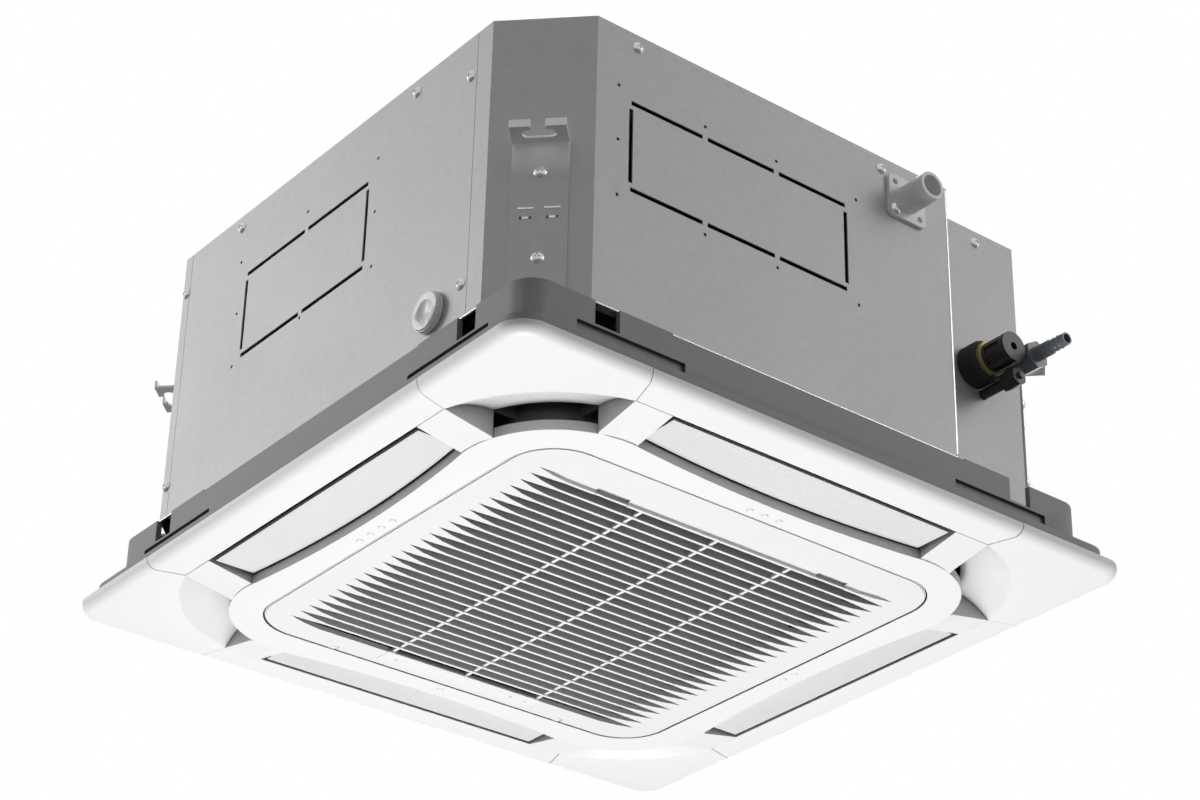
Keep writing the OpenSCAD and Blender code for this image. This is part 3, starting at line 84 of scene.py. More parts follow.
# %% [markdown]
# ## Light, floor and background
# The picture has a pure white background and soft light. A white seen by the camera must not come
# from more light on the object, so the world asks what kind of ray it is: camera, mirror and glass
# rays see plain white, and all others see a dim grey that only fills the shadows. The panel looks
# down, so a lamp lies under it. It is small: the walls of the outlets face sideways, and under a
# small lamp they stay dark, as in the picture. Two broad lamps stand high to the left and to the
# right, on opposite sides of the unit. Their cones are narrow, so they light the casing's sides and
# leave the underside alone, and the chamfer between the two lit sides stays darker than both. A
# last lamp stands high behind the unit, out of the picture's sight, for the views of the back and
# the top.

# %% World and lamps
FILL = 0.18


def white_for_the_eye(tree, dim):
    """Strength 1 for camera, mirror and glass rays, and dim for the rest."""
    ray = tree.nodes.new("ShaderNodeLightPath")
    either = tree.nodes.new("ShaderNodeMath")
    either.operation = "MAXIMUM"
    any_of = tree.nodes.new("ShaderNodeMath")
    any_of.operation = "MAXIMUM"
    strength = tree.nodes.new("ShaderNodeMapRange")
    strength.inputs["To Min"].default_value = dim
    strength.inputs["To Max"].default_value = 1.0
    tree.links.new(ray.outputs["Is Camera Ray"], either.inputs[0])
    tree.links.new(ray.outputs["Is Glossy Ray"], either.inputs[1])
    tree.links.new(either.outputs[0], any_of.inputs[0])
    tree.links.new(ray.outputs["Is Transmission Ray"], any_of.inputs[1])
    tree.links.new(any_of.outputs[0], strength.inputs["Value"])
    return strength.outputs["Result"]


world = bpy.data.worlds.new("studio")
bpy.context.scene.world = world
world.use_nodes = True
sky = world.node_tree.nodes["Background"]
sky.inputs["Color"].default_value = (1.0, 1.0, 1.0, 1.0)
world.node_tree.links.new(white_for_the_eye(world.node_tree, FILL), sky.inputs["Strength"])


def soft_lamp(name, place, aim, width, height, watts, spread=180):
    """Area lamp at place that shines towards aim in a cone of spread degrees."""
    data = bpy.data.lights.new(name, "AREA")
    data.shape = "RECTANGLE"
    data.size = width
    data.size_y = height
    data.energy = watts
    data.spread = math.radians(spread)
    lamp = bpy.data.objects.new(name, data)
    lamp.location = place
    lamp.rotation_euler = (Vector(aim) - Vector(place)).to_track_quat("-Z", "Y").to_euler()
    lamp.visible_camera = False
    bpy.context.scene.collection.objects.link(lamp)


soft_lamp("lamp_below", (0.0, -0.1, -2.2), (0, 0, -0.2), 0.7, 0.7, 40.0)
soft_lamp("lamp_left", (-2.3, -2.1, 1.0), (-0.2, -0.2, 0), 1.6, 1.6, 4.3, 50)
soft_lamp("lamp_right", (2.3, 2.1, 1.0), (0.2, 0.2, 0), 1.6, 1.6, 2.45, 50)
soft_lamp("lamp_back", (-2.4, 2.4, 2.2), (0, 0, 0), 2.0, 2.0, 9.0, 50)

# %% [markdown]
# The floor lies far under the lamp and under every camera, also one that looks straight up. It is
# pale paint, so it throws soft light back up at the panel. The camera looks up and never sees it,
# but a view from above does. The lamps hardly reach it there, so a glow that only the camera's own
# rays see keeps it pale without putting more light on the unit.

# %% Floor
FLOOR_REACH = 16
FLOOR_Z = -4.2
FLOOR_TONE = 0.55
FLOOR_GLOW = 0.7

floor_mesh = bpy.data.meshes.new("studio_floor")
floor_mesh.from_pydata([(x * FLOOR_REACH, y * FLOOR_REACH, FLOOR_Z)
                        for x, y in ((-1, -1), (1, -1), (1, 1), (-1, 1))], [], [(0, 1, 2, 3)])
floor = bpy.data.objects.new("studio_floor", floor_mesh)
bpy.context.scene.collection.objects.link(floor)
floor_paint = bpy.data.materials.new("floor_paint")
floor_paint.use_nodes = True
tree = floor_paint.node_tree
paint = tree.nodes["Principled BSDF"]
paint.inputs["Base Color"].default_value = (FLOOR_TONE, FLOOR_TONE, FLOOR_TONE, 1)
paint.inputs["Roughness"].default_value = 0.9
ray = tree.nodes.new("ShaderNodeLightPath")
glow = tree.nodes.new("ShaderNodeMapRange")
glow.inputs["To Max"].default_value = FLOOR_GLOW
tree.links.new(ray.outputs["Is Camera Ray"], glow.inputs["Value"])
paint.inputs["Emission Color"].default_value = (1, 1, 1, 1)
tree.links.new(glow.outputs["Result"], paint.inputs["Emission Strength"])
floor_mesh.materials.append(floor_paint)
print("floor lies at", FLOOR_Z, "m")

# %% [markdown]
# ## Finishes
# Narrow gaps, deep corners and the undersides of lips get painted shade: their base colour is made
# darker to stand in for the shade that falls there. An ambient occlusion node measures how near
# other surfaces stand, within a reach in metres, and the base colour is scaled down by it: full
# tone where at least OPEN of the sky above a point is free, the darkest where no more than CLOSED
# is.
# The reach is short, so open faces keep their colour.

# %% Painted shade in crevices
CLOSED = 0.25
OPEN = 0.85


def paint_crevice_shade(tree, reach, tone):
    """Painted shade: darken the base colour down to tone where other surfaces stand within reach
    metres.
    """
    near = tree.nodes.new("ShaderNodeAmbientOcclusion")
    near.samples = 8
    near.inputs["Distance"].default_value = reach
    keep = tree.nodes.new("ShaderNodeMapRange")
    keep.inputs["From Min"].default_value = CLOSED
    keep.inputs["From Max"].default_value = OPEN
    keep.inputs["To Min"].default_value = tone
    keep.inputs["To Max"].default_value = 1.0
    darken = tree.nodes.new("ShaderNodeVectorMath")
    darken.operation = "SCALE"
    shader = tree.nodes["Principled BSDF"]
    colour = shader.inputs["Base Color"].links[0].from_socket
    tree.links.new(near.outputs["AO"], keep.inputs["Value"])
    tree.links.new(colour, darken.inputs[0])
    tree.links.new(keep.outputs["Result"], darken.inputs["Scale"])
    tree.links.new(darken.outputs["Vector"], shader.inputs["Base Color"])


# %% [markdown]
# No real surface is one flat colour. Each finish here starts from the same small recipe: a soft
# cloud of noise moves the colour and the roughness a little, and a finer noise makes a shallow
# relief that breaks up the highlights. The numbers that matter are sizes on the real thing, so the
# noise reads the object's own coordinates in metres: a scale of 300 gives spots of about three
# millimetres.

# %% A finish with clouds and grain
def finish(name, colour, rough, metal=0.0, cloud=30.0, spread=0.03, grain=1500.0, relief=0.1,
           depth=0.0001, painted_shade_reach=0.0, painted_shade_tone=0.25):
    """Material whose colour and roughness drift by spread, with grain as a bump.

    Corners that are nearer to another surface than painted_shade_reach metres get painted shade,
    down to painted_shade_tone.
    """
    material = bpy.data.materials.new(name)
    material.use_nodes = True
    tree = material.node_tree
    shader = tree.nodes["Principled BSDF"]
    shader.inputs["Metallic"].default_value = metal
    place = tree.nodes.new("ShaderNodeTexCoord")
    place.name = "place"
    clouds = tree.nodes.new("ShaderNodeTexNoise")
    clouds.name = "clouds"
    clouds.inputs["Scale"].default_value = cloud
    clouds.inputs["Detail"].default_value = 5.0
    tone = tree.nodes.new("ShaderNodeValToRGB")
    tone.name = "tone"
    tone.color_ramp.elements[0].position = 0.3
    tone.color_ramp.elements[1].position = 0.7
    tone.color_ramp.elements[0].color = [c * (1 - spread) for c in colour] + [1]
    tone.color_ramp.elements[1].color = [min(1.0, c * (1 + spread)) for c in colour] + [1]
    polish = tree.nodes.new("ShaderNodeMapRange")
    polish.name = "polish"
    polish.inputs["To Min"].default_value = max(0.05, rough - 0.05)
    polish.inputs["To Max"].default_value = min(1.0, rough + 0.05)
    fine = tree.nodes.new("ShaderNodeTexNoise")
    fine.name = "fine"
    fine.inputs["Scale"].default_value = grain
    fine.inputs["Detail"].default_value = 2.0
    bump = tree.nodes.new("ShaderNodeBump")
    bump.name = "bump"
    bump.inputs["Strength"].default_value = relief
    bump.inputs["Distance"].default_value = depth
    tree.links.new(place.outputs["Object"], clouds.inputs["Vector"])
    tree.links.new(place.outputs["Object"], fine.inputs["Vector"])
    tree.links.new(clouds.outputs["Fac"], tone.inputs["Fac"])
    tree.links.new(clouds.outputs["Fac"], polish.inputs["Value"])
    tree.links.new(tone.outputs["Color"], shader.inputs["Base Color"])
    tree.links.new(polish.outputs["Result"], shader.inputs["Roughness"])
    tree.links.new(fine.outputs["Fac"], bump.inputs["Height"])
    tree.links.new(bump.outputs["Normal"], shader.inputs["Normal"])
    # painted shade: the base colour gets darker in corners and gaps
    if painted_shade_reach:
        paint_crevice_shade(tree, painted_shade_reach, painted_shade_tone)
    return material


# %% [markdown]
# Galvanised sheet shows its zinc crystals as faint patches of a few millimetres, each a little
# lighter or darker. A Voronoi texture makes such patches. The sheet in the picture is an even,
# dull grey, so the patches stay weak and the metal is kept low, with a broad highlight.

# %% Galvanised sheet
SHEET_GREY = (0.50, 0.50, 0.505)


def galvanised_sheet(name, colour, metal=0.25, rough=0.55):
    """Sheet metal with faint zinc patches of a few millimetres."""
    material = finish(name, colour, rough, metal, cloud=9.0, spread=0.02, grain=700.0, relief=0.06)
    tree = material.node_tree
    crystals = tree.nodes.new("ShaderNodeTexVoronoi")
    crystals.inputs["Scale"].default_value = 160.0
    patch = tree.nodes.new("ShaderNodeMapRange")
    patch.inputs["To Min"].default_value = 0.97
    patch.inputs["To Max"].default_value = 1.03
    tint = tree.nodes.new("ShaderNodeVectorMath")
    tint.operation = "SCALE"
    tree.links.new(tree.nodes["place"].outputs["Object"], crystals.inputs["Vector"])
    tree.links.new(crystals.outputs["Color"], patch.inputs["Value"])
    tree.links.new(tree.nodes["tone"].outputs["Color"], tint.inputs[0])
    tree.links.new(patch.outputs["Result"], tint.inputs["Scale"])
    tree.links.new(tint.outputs["Vector"], tree.nodes["Principled BSDF"].inputs["Base Color"])
    return material


sheet_metal = galvanised_sheet("galvanised_sheet", SHEET_GREY)
inner_metal = galvanised_sheet("inner_sheet", (0.55, 0.56, 0.57), 0.5, 0.45)

# %% [markdown]
# The hanger brackets are pressed from the same sheet, and their folded plates look almost white
# from below. That white is painted light: the finish changes with height along the bracket, so it
# takes the surface's own Z and mixes from grey to bright just under the plate.

# %% Bracket steel with painted light under the plate
def bracket_steel():
    """Grey sheet with painted light: it turns bright over the last centimetres below the slotted
    plate.
    """
    material = galvanised_sheet("bracket_steel", SHEET_GREY)
    tree = material.node_tree
    parts = tree.nodes.new("ShaderNodeSeparateXYZ")
    climb = tree.nodes.new("ShaderNodeMapRange")
    climb.inputs["From Min"].default_value = -0.030
    climb.inputs["From Max"].default_value = -0.002
    # painted light: the colour mixes to near white towards the plate
    bright = tree.nodes.new("ShaderNodeMix")
    bright.data_type = "RGBA"
    bright.inputs["B"].default_value = (0.93, 0.93, 0.935, 1.0)
    shader = tree.nodes["Principled BSDF"]
    grey = shader.inputs["Base Color"].links[0].from_socket
    tree.links.new(tree.nodes["place"].outputs["Object"], parts.inputs[0])
    tree.links.new(parts.outputs["Z"], climb.inputs["Value"])
    tree.links.new(climb.outputs["Result"], bright.inputs["Factor"])
    tree.links.new(grey, bright.inputs["A"])
    tree.links.new(bright.outputs["Result"], shader.inputs["Base Color"])
    return material


hanger_steel_painted_light = bracket_steel()
screw_steel = finish("screw_steel", (0.90, 0.90, 0.91), 0.28, 0.45, cloud=400.0, spread=0.05,
                     grain=2500.0)

# %% [markdown]
# The white mouldings are satin ABS. What makes them look moulded is not a pattern but the quiet:
# very even white, a fine spark-eroded grain and a soft highlight. The flaps are the same resin in
# a slightly greyer tone. The dark mouldings, the foam and the rubber share the recipe with other
# tones and a rougher or glossier surface.

# %% Plastics, foam and rubber
SATIN = {"rough": 0.42, "cloud": 6.0, "spread": 0.008, "grain": 2600.0, "relief": 0.05}

# the mouldings given a reach below get painted shade in their crevices
white_plastic = finish("white_moulding", (0.93, 0.93, 0.93), **SATIN, painted_shade_reach=0.05,
                       painted_shade_tone=0.18)
grille_plastic = finish("grille_moulding", (0.88, 0.88, 0.88), **SATIN, painted_shade_reach=0.012,
                        painted_shade_tone=0.62)
flap_plastic = finish("flap_moulding", (0.76, 0.76, 0.765), 0.5, cloud=8.0, spread=0.012,
                      grain=2600.0, relief=0.08, painted_shade_reach=0.008)
strip_plastic = finish("receiver_window", (0.95, 0.95, 0.95), 0.22, cloud=6.0, spread=0.006,
                       grain=2600.0, relief=0.02)
lamp_plastic = finish("lamp_window", (0.62, 0.63, 0.64), 0.25, cloud=90.0, spread=0.04)
frame_plastic = finish("frame_moulding", (0.31, 0.31, 0.312), 0.6, cloud=10.0, spread=0.04,
                       grain=1700.0, relief=0.15, painted_shade_reach=0.03)
light_grey_plastic = finish("socket_moulding", (0.97, 0.97, 0.975), 0.30, cloud=60.0, spread=0.03,
                            grain=2000.0, relief=0.12)
black_plastic = finish("black_moulding", (0.028, 0.028, 0.03), 0.42, cloud=120.0, spread=0.2,
                       grain=1900.0, relief=0.2)
spigot_plastic = finish("spigot_moulding", (0.21, 0.235, 0.255), 0.35, cloud=90.0, spread=0.08,
                        grain=1900.0, relief=0.12)
fan_plastic = finish("fan_moulding", (0.09, 0.09, 0.1), 0.55, cloud=20.0, spread=0.08)
orange_plastic = finish("float_moulding", (0.80, 0.28, 0.04), 0.4, cloud=60.0, spread=0.05)
rubber_sleeve = finish("insulation_sleeve", (0.022, 0.022, 0.024), 0.85, cloud=260.0, spread=0.3,
                       grain=1200.0, relief=0.6, depth=0.0003)
foam_white = finish("beaded_foam", (0.88, 0.88, 0.87), 0.9, cloud=300.0, spread=0.05, grain=330.0,
                    relief=0.5, depth=0.0005)
brass = finish("brass", (0.30, 0.25, 0.12), 0.45, 0.8, cloud=200.0, spread=0.12)
copper = finish("copper", (0.74, 0.37, 0.22), 0.35, 0.9, cloud=60.0, spread=0.12)
board_green = finish("circuit_board", (0.03, 0.20, 0.08), 0.4, cloud=350.0, spread=0.25)
filter_dark = finish("filter_net", (0.05, 0.05, 0.055), 0.7, cloud=200.0, spread=0.15)

# %% [markdown]
# The heat exchanger is a stack of aluminium fins, a millimetre or two apart. Drawing thousands of
# them would be a waste inside a closed casing, so a wave texture along the height makes their
# edges in the bump.

# %% Finned block
def finned_aluminium():
    """Aluminium with the edges of fins, as a wave along the height in the bump."""
    material = finish("finned_aluminium", (0.66, 0.69, 0.71), 0.4, 0.6, cloud=40.0, spread=0.04)
    tree = material.node_tree
    edges = tree.nodes.new("ShaderNodeTexWave")
    edges.bands_direction = "Z"
    edges.inputs["Scale"].default_value = 160.0
    tree.links.new(tree.nodes["place"].outputs["Object"], edges.inputs["Vector"])
    tree.links.new(edges.outputs["Fac"], tree.nodes["bump"].inputs["Height"])
    tree.nodes["bump"].inputs["Strength"].default_value = 0.8
    tree.nodes["bump"].inputs["Distance"].default_value = 0.0008
    return material


fins = finned_aluminium()
print("finishes:", len(bpy.data.materials))

# %% [markdown]
# ## Putting a finish on a solid
# Parts whose shape is already right keep their CAD mesh. Their material goes into the object's own
# slot, so that the mesh stays untouched.

# %% Dress a CAD node
def dress(node, material):
    """Give a CAD node a material and leave its mesh as it is."""
    piece = frame["nodes"][node]
    if not piece.material_slots:
        piece.data.materials.append(None)
    for place in piece.material_slots:
        place.link = "OBJECT"
        place.material = material


inside = {
    "coil_fins": fins, "gas_line": copper, "liquid_line": copper, "casing_liner": rubber_sleeve,
    "drain_pan": foam_white, "bell_mouth": frame_plastic, "turbo_fan": fan_plastic,
    "fan_motor": inner_metal, "fan_shaft": screw_steel, "fan_nut": screw_steel,
    "drain_pump": light_grey_plastic, "drain_hose": rubber_sleeve, "float_ring": orange_plastic,
    "float_stem": white_plastic, "control_box": inner_metal, "control_lid": inner_metal,
    "control_board": board_green, "terminal_block": white_plastic, "panel_bolts": screw_steel,
    "flap_motor_front": screw_steel, "flap_motor_right": screw_steel,
    "flap_motor_back": screw_steel, "flap_motor_left": screw_steel, "casing_screws": screw_steel,
    "air_filter": filter_dark}
for node, material in inside.items():
    dress(node, material)
print("dressed as they are:", len(inside))

# %% [markdown]
# ## Soft edges
# A solid from CAD has knife edges, and a real moulding or folded sheet has none. The edge is where
# the light catches, so this is the step that makes the panel look made. A copy of the CAD mesh is
# cleaned: doubled points are merged and flat triangles are joined into whole faces. Then a bevel
# modifier rounds each edge that is sharper than a limit. The copy stands for the node and rides on
# the same body. Rounding takes a little off outer edges and fills inner corners by as little, so
# the piece keeps the size of its solid.

# %% Soft copy of a CAD node
SAME_POINT = 2e-6
SAME_PLANE = math.radians(0.6)


def soften(node, material, width, segments=2, limit=30.0):
    """Copy of a CAD node with rounded edges: width in metres, limit in degrees."""
    mesh = frame["nodes"][node].data.copy()
    mesh.name = node + "_moulding"
    shape = bmesh.new()
    shape.from_mesh(mesh)
    bmesh.ops.remove_doubles(shape, verts=shape.verts, dist=SAME_POINT)
    bmesh.ops.dissolve_limit(shape, angle_limit=SAME_PLANE, verts=shape.verts, edges=shape.edges)
    bmesh.ops.recalc_face_normals(shape, faces=shape.faces)
    shape.to_mesh(mesh)
    shape.free()
    mesh.shade_smooth()
    mesh.set_sharp_from_angle(angle=math.radians(limit))
    mesh.materials.clear()
    mesh.materials.append(material)
    piece = bpy.data.objects.new(mesh.name, mesh)
    bpy.context.scene.collection.objects.link(piece)
    edge = piece.modifiers.new("soft_edges", "BEVEL")
    edge.width = width
    edge.segments = segments
    edge.limit_method = "ANGLE"
    edge.angle_limit = math.radians(limit)
    edge.miter_outer = "MITER_ARC"
    edge.harden_normals = True
    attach(piece, body_of_node[node])
    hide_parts(node)


# %% [markdown]
# ### Casing
# The casing is bent from sheet a little over a millimetre thick. Its sheets butt against each
# other, so they keep their CAD mesh and the joints between them stay closed. The brackets stand
# free: a small round with two segments catches the light along their folds and slots.

# %% Casing sheets and brackets
for node in ("top_plate", "side_panel_front", "side_panel_right", "side_panel_back",
             "side_panel_left", "piping_panel"):
    dress(node, sheet_metal)
for node in ("hanger_near", "hanger_right", "hanger_far", "hanger_left"):
    soften(node, hanger_steel_painted_light, 0.0007)
print("casing dressed, brackets softened")

# %% [markdown]
# Some details are too thin to be solids of their own, such as hems, ribs and threads. They are
# drawn from points and faces. One helper makes such a piece. The step that calls it says which
# body the piece rides on and which material slot it takes.

# %% A piece from points and faces
MM = 0.001


def new_piece(name, points, faces, material, smooth=True):
    """Object with a mesh of its own, points in metres."""
    mesh = bpy.data.meshes.new(name)
    mesh.from_pydata(points, [], faces)
    mesh.materials.append(material)
    if smooth:
        mesh.shade_smooth()
    piece = bpy.data.objects.new(name, mesh)
    bpy.context.scene.collection.objects.link(piece)
    return piece


# %% [markdown]
# ### Hems and pressed lips, with painted highlights
# The lower edge of each side sheet is folded back on itself. The thin bright line along that fold,
# just above the grey frame, is a painted highlight: a half-round strip in bright screw steel. Where
# the right side steps in for the pipes, its sheet has an upright fold with the same painted
# highlight. On the brackets four small slits have lips with painted highlights too. All are long,
# thin, half-round forms, so one helper draws them: a profile of five points, pulled along the side.
# Each strip is drawn on the front side, in millimetres, and then turned about Z.

# %% Half-round trims
PROFILE = ((0.0, 0.0), (0.75, 0.12), (1.0, 0.5), (0.75, 0.88), (0.0, 1.0))


def half_round(name, runs, material, like):
    """One piece of half-round strips that belongs to the body of the node like.

    A run is a turn in degrees and then, in mm, x0, x1, y, z0, z1 and how far it stands out.
    """
    points, faces = [], []
    count = len(PROFILE)
    for turn, x0, x1, y, z0, z1, stand in runs:
        cos, sin = math.cos(math.radians(turn)), math.sin(math.radians(turn))
        first = len(points)
        for x in (x0, x1):
            for out, up in PROFILE:
                deep, z = y - out * stand, z0 + up * (z1 - z0)
                points.append(((x * cos - deep * sin) * MM, (x * sin + deep * cos) * MM, z * MM))
        faces.append(list(range(first, first + count)))
        faces.append(list(range(first + count, first + 2 * count))[::-1])
        for i in range(count):
            after = (i + 1) % count
            faces.append((first + i, first + count + i, first + count + after, first + after))
    piece = new_piece(name, points, faces, material)
    piece.data.set_sharp_from_angle(angle=math.radians(60))
    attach(piece, body_of_node[like])


CASE_HALF = 285.0
HEM_Z, HEM_HIGH, HEM_STAND, HEM_REACH = -142.0, 1.5, 0.5, 226
RECESS_AT, FOLD_HALF, FOLD_LIFT, FOLD_TOP, FOLD_STAND = 147, 0.6, 4, 116.0, 0.4
hem_ends = ((0, HEM_REACH), (90, RECESS_AT), (180, HEM_REACH), (270, HEM_REACH))
hem_runs = [(turn, -HEM_REACH, end, -CASE_HALF, HEM_Z, HEM_Z + HEM_HIGH, HEM_STAND)
            for turn, end in hem_ends]
fold_run = (90, RECESS_AT - FOLD_HALF, RECESS_AT + FOLD_HALF, -CASE_HALF, HEM_Z + FOLD_LIFT,
            FOLD_TOP, FOLD_STAND)
# bright strips in screw steel along the hems and the upright fold: painted highlights
half_round("casing_hem_highlights", hem_runs + [fold_run], screw_steel, "side_panel_front")
print("hems drawn:", len(hem_runs), "and one upright fold")

# %% [markdown]
# Each bracket has two slits beside its middle. A slit has a long lip above it and a short one
# below, so a lip is written as half its length, its lower and upper height, and how far it stands
# out. The bracket at the piping corner is narrower, and its middle lies off the casing's diagonal.

# %% Painted highlights on the lips of the brackets' slits
PLATE_FACE = -364.04
SLIT_AT = 10.2
SHORT_MIDDLE = 22.27
LIPS = ((6.2, -60.6, -58.4, 0.5), (2.3, -69.2, -66.8, 0.4))
for node, turn, middle in (("hanger_near", 45, 0.0), ("hanger_right", 135, SHORT_MIDDLE),
                           ("hanger_far", 225, 0.0), ("hanger_left", 315, 0.0)):
    lip_runs = [(turn, middle + side * SLIT_AT - half, middle + side * SLIT_AT + half, PLATE_FACE,
                 z0, z1, stand) for half, z0, z1, stand in LIPS for side in (-1, 1)]
    # bright strips in screw steel on the slits' lips: painted highlights
    half_round(node + "_lip_highlights", lip_runs, screw_steel, node)
print("lips on each bracket:", len(lip_runs))

# %% [markdown]
# ### Fittings
# The drain socket, the water plug and the pipe ends are small mouldings and turned parts. They
# catch the eye because they are lighter or darker than the sheet behind them, so each gets round
# edges that suit its size.

# %% Drain, plug and pipe ends
soften("drain_socket", light_grey_plastic, 0.0009)
soften("water_plug", light_grey_plastic, 0.0009)
soften("pipe_sleeve", rubber_sleeve, 0.0020, segments=3)
soften("gas_union", brass, 0.0005)
soften("gas_nut", black_plastic, 0.0009, limit=25.0)
soften("liquid_coupling", spigot_plastic, 0.0006, limit=25.0)
soften("bleed_valve", black_plastic, 0.0007, limit=25.0)
print("fittings softened")

# %% [markdown]
# ### Panel
# The white panel is six mouldings: the rolled face, four corner covers and the centre ring.
# Between them run fine seams. Rounding both edges of a seam opens it into the thin grey line of
# the picture, and rounding the ring's rim lets its lower face flow into the side walls. The
# grille's thin bars keep their CAD mesh.

# %% White mouldings and the grey frame
soften("panel_frame", frame_plastic, 0.0006)
soften("face_panel", white_plastic, 0.0005, limit=24.0)
for node in ("corner_cover_near", "corner_cover_right", "corner_cover_far", "corner_cover_left"):
    soften(node, white_plastic, 0.0005, limit=24.0)
soften("centre_ring", white_plastic, 0.0012, segments=3)
dress("suction_grille", grille_plastic)
soften("receiver_strip", strip_plastic, 0.0003)
for node in ("latch_front", "latch_back"):
    soften(node, white_plastic, 0.0004)
print("panel softened")

# %% [markdown]
# ### Dots that count the sides
# Rows of four, three, two and one raised dots mark the four sides of the ring. They are white on
# white and show only by the fine shadow round their foot. The CAD mesh says where they are: its
# lowest points are their tips. A thin grey ring at the foot of each one is a painted shadow line.

# %% Painted shadow line round each dot
TIP_DEPTH = 0.0001
DOT_APART = 0.004
FOOT_UP = 0.00076
# grey of the painted shadow line at each dot's foot
dot_shadow_grey = finish("painted_dot_shadow", (0.50, 0.50, 0.505), 0.6, cloud=60.0, spread=0.05)


def dot_places(node):
    """Middle of each dot, from the node's lowest points, and the height of the tips."""
    spots = [v.co for v in frame["nodes"][node].data.vertices]
    low = min(v.z for v in spots)
    groups = []
    for v in spots:
        if v.z > low + TIP_DEPTH:
            continue
        for group in groups:
            if (group[0] - v).length < DOT_APART:
                group.append(v)
                break
        else:
            groups.append([v])
    return [((min(v.x for v in g) + max(v.x for v in g)) / 2,
             (min(v.y for v in g) + max(v.y for v in g)) / 2) for g in groups], low


def dot_rings(places, z, inner, outer, around=32):
    """Flat grey rings of painted shadow round the dots' feet, at height z."""
    points, faces = [], []
    for x, y in places:
        start = len(points)
        for i in range(around):
            turn = 2 * math.pi * i / around
            for r in (inner, outer):
                points.append((x + r * math.cos(turn), y + r * math.sin(turn), z))
        for i in range(around):
            a, b = start + 2 * i, start + 2 * ((i + 1) % around)
            faces.append((a, b, b + 1, a + 1))
    rings = new_piece("dot_rings", points, faces, dot_shadow_grey, smooth=False)
    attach(rings, body_of_node["centre_ring"])


dots, tips = dot_places("centre_ring")
dot_rings(dots, tips + FOOT_UP, inner=0.0024, outer=0.0030)
print("dots:", len(dots))

# %% [markdown]
# ### Flaps
# Each flap closes one long outlet. Its face is not smooth: fine ribs, about two millimetres apart,
# run across it and give it a slightly greyer look than the panel. They are drawn as real ridges
# with a rounded top, cut to the flap's curved inner edge, because a bump alone would vanish in a
# low view.

# %% Ribbed flaps
FACE_Z = -207.5
FLAP_REACH = 137.0
OUTER_EDGE = 273.5
INNER_MARGIN = 3.5
CURVE_R = 1128.0
CURVE_MID = 1360.0
RIB_PITCH = 2.0
RIB_LIFT = 0.28
RIB_RUNOUT = 0.8
SUNK = 0.05
RIB_SHAPE = ((-0.7, 0.0), (-0.35, 0.8), (0.0, 1.0), (0.35, 0.8), (0.7, 0.0))


def inner_edge(x):
    """Distance of the flap's curved inner edge from the centre, at x along the flap, in mm."""
    return CURVE_MID - math.sqrt(CURVE_R ** 2 - x ** 2)


def flap_ribs(side, turn):
    """Ridges across the face of one flap, with their feet a little inside it."""
    points, faces = [], []
    x = -FLAP_REACH
    while x <= FLAP_REACH:
        y0, y1 = -OUTER_EDGE, -inner_edge(x) - INNER_MARGIN
        start = len(points)
        for y, lift in ((y0, 0.0), (y0 + RIB_RUNOUT, RIB_LIFT), (y1 - RIB_RUNOUT, RIB_LIFT),
                        (y1, 0.0)):
            for dx, share in RIB_SHAPE:
                z = FACE_Z + SUNK - lift * share - SUNK * (share > 0)
                points.append((x + dx, y, z))
        for row in range(3):
            for col in range(4):
                a = start + row * 5 + col
                faces.append((a, a + 5, a + 6, a + 1))
        x += RIB_PITCH
    cos, sin = math.cos(turn), math.sin(turn)
    points = [((x * cos - y * sin) * MM, (x * sin + y * cos) * MM, z * MM) for x, y, z in points]
    ribs = new_piece("flap_ribs_" + side, points, faces, flap_plastic)
    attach(ribs, side + "_flap")
    return ribs


for side, turn in (("front", 0.0), ("right", math.pi / 2), ("back", math.pi),
                   ("left", -math.pi / 2)):
    soften("flap_" + side, flap_plastic, 0.0008, segments=3)
    ribs = flap_ribs(side, turn)
print("ribs on each flap:", len(ribs.data.polygons) // 12)

# %% [markdown]
# ### Filter net
# Behind the grille lies a washable net in a dark frame. Only a little of it shows between the
# blades, as a dark depth. A grid of thin flat threads is light enough to draw for real, and it
# lets some of the dark through where a plain sheet would not.

# %% Filter net
NET_INSET = 0.012
NET_PITCH = 0.0025
THREAD = 0.0009
OVER = 0.00005


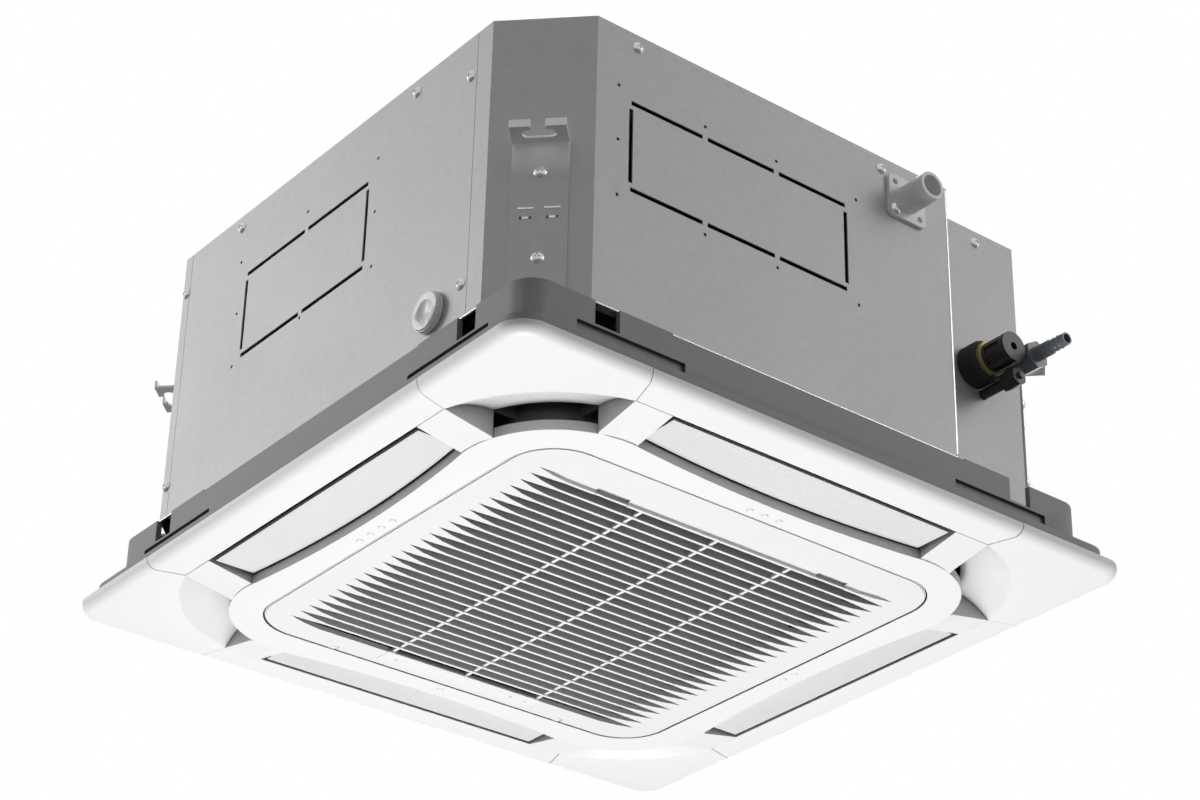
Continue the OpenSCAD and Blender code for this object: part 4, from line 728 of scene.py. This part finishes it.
def filter_net(z, reach):
    """Square net of flat threads at height z, reaching as far from the middle as reach."""
    points, faces = [], []

    def strip(x0, x1, y0, y1, level):
        start = len(points)
        points.extend([(x0, y0, level), (x1, y0, level), (x1, y1, level), (x0, y1, level)])
        faces.append((start, start + 1, start + 2, start + 3))

    for i in range(int(2 * reach / NET_PITCH) + 1):
        at = -reach + i * NET_PITCH
        strip(at - THREAD / 2, at + THREAD / 2, -reach, reach, z)
        strip(-reach, reach, at - THREAD / 2, at + THREAD / 2, z + OVER)
    net = new_piece("filter_net", points, faces, filter_dark, smooth=False)
    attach(net, "grille")
    return net


low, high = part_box("air_filter")
net = filter_net((low[2] + high[2]) / 2, (high[0] - low[0]) / 2 - NET_INSET)
print("threads in the net:", len(net.data.polygons))

# %% [markdown]
# ### Signal lamps
# The narrow window beside the slots covers the receiver and three small lamps. The lamps are plain
# discs of a greyer, clearer resin, set into the window's round recesses.

# %% Lamps in the receiver window
LENS_RADIUS = 0.00155
LENS_SUNK = 0.00012
LENS_DOME = ((0.55, 0.00004), (0.9, 0.00012), (1.0, 0.00022))


def lamp_lens(name, x, y, z, around=24):
    """Shallow dome that looks down, with its top at x, y, z."""
    points, faces = [(x, y, z)], []
    for share, drop in LENS_DOME:
        for i in range(around):
            turn = 2 * math.pi * i / around
            points.append((x + LENS_RADIUS * share * math.cos(turn),
                           y + LENS_RADIUS * share * math.sin(turn), z + drop))
    for i in range(around):
        faces.append((0, 1 + (i + 1) % around, 1 + i))
    for ring in range(len(LENS_DOME) - 1):
        for i in range(around):
            a, b = 1 + ring * around, 1 + (i + 1) % around + ring * around
            faces.append((a + i, b, b + around, a + i + around))
    lens_piece = new_piece(name, points, faces, lamp_plastic)
    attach(lens_piece, "grille")


low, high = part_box("receiver_strip")
length = high[1] - low[1]
for count, share in enumerate((-0.41, 0.35, 0.45)):
    lamp_lens("lamp_lens_%d" % (count + 1), (low[0] + high[0]) / 2, share * length,
              low[2] + LENS_SUNK)
print("receiver window is %.0f mm long" % (length * 1000))
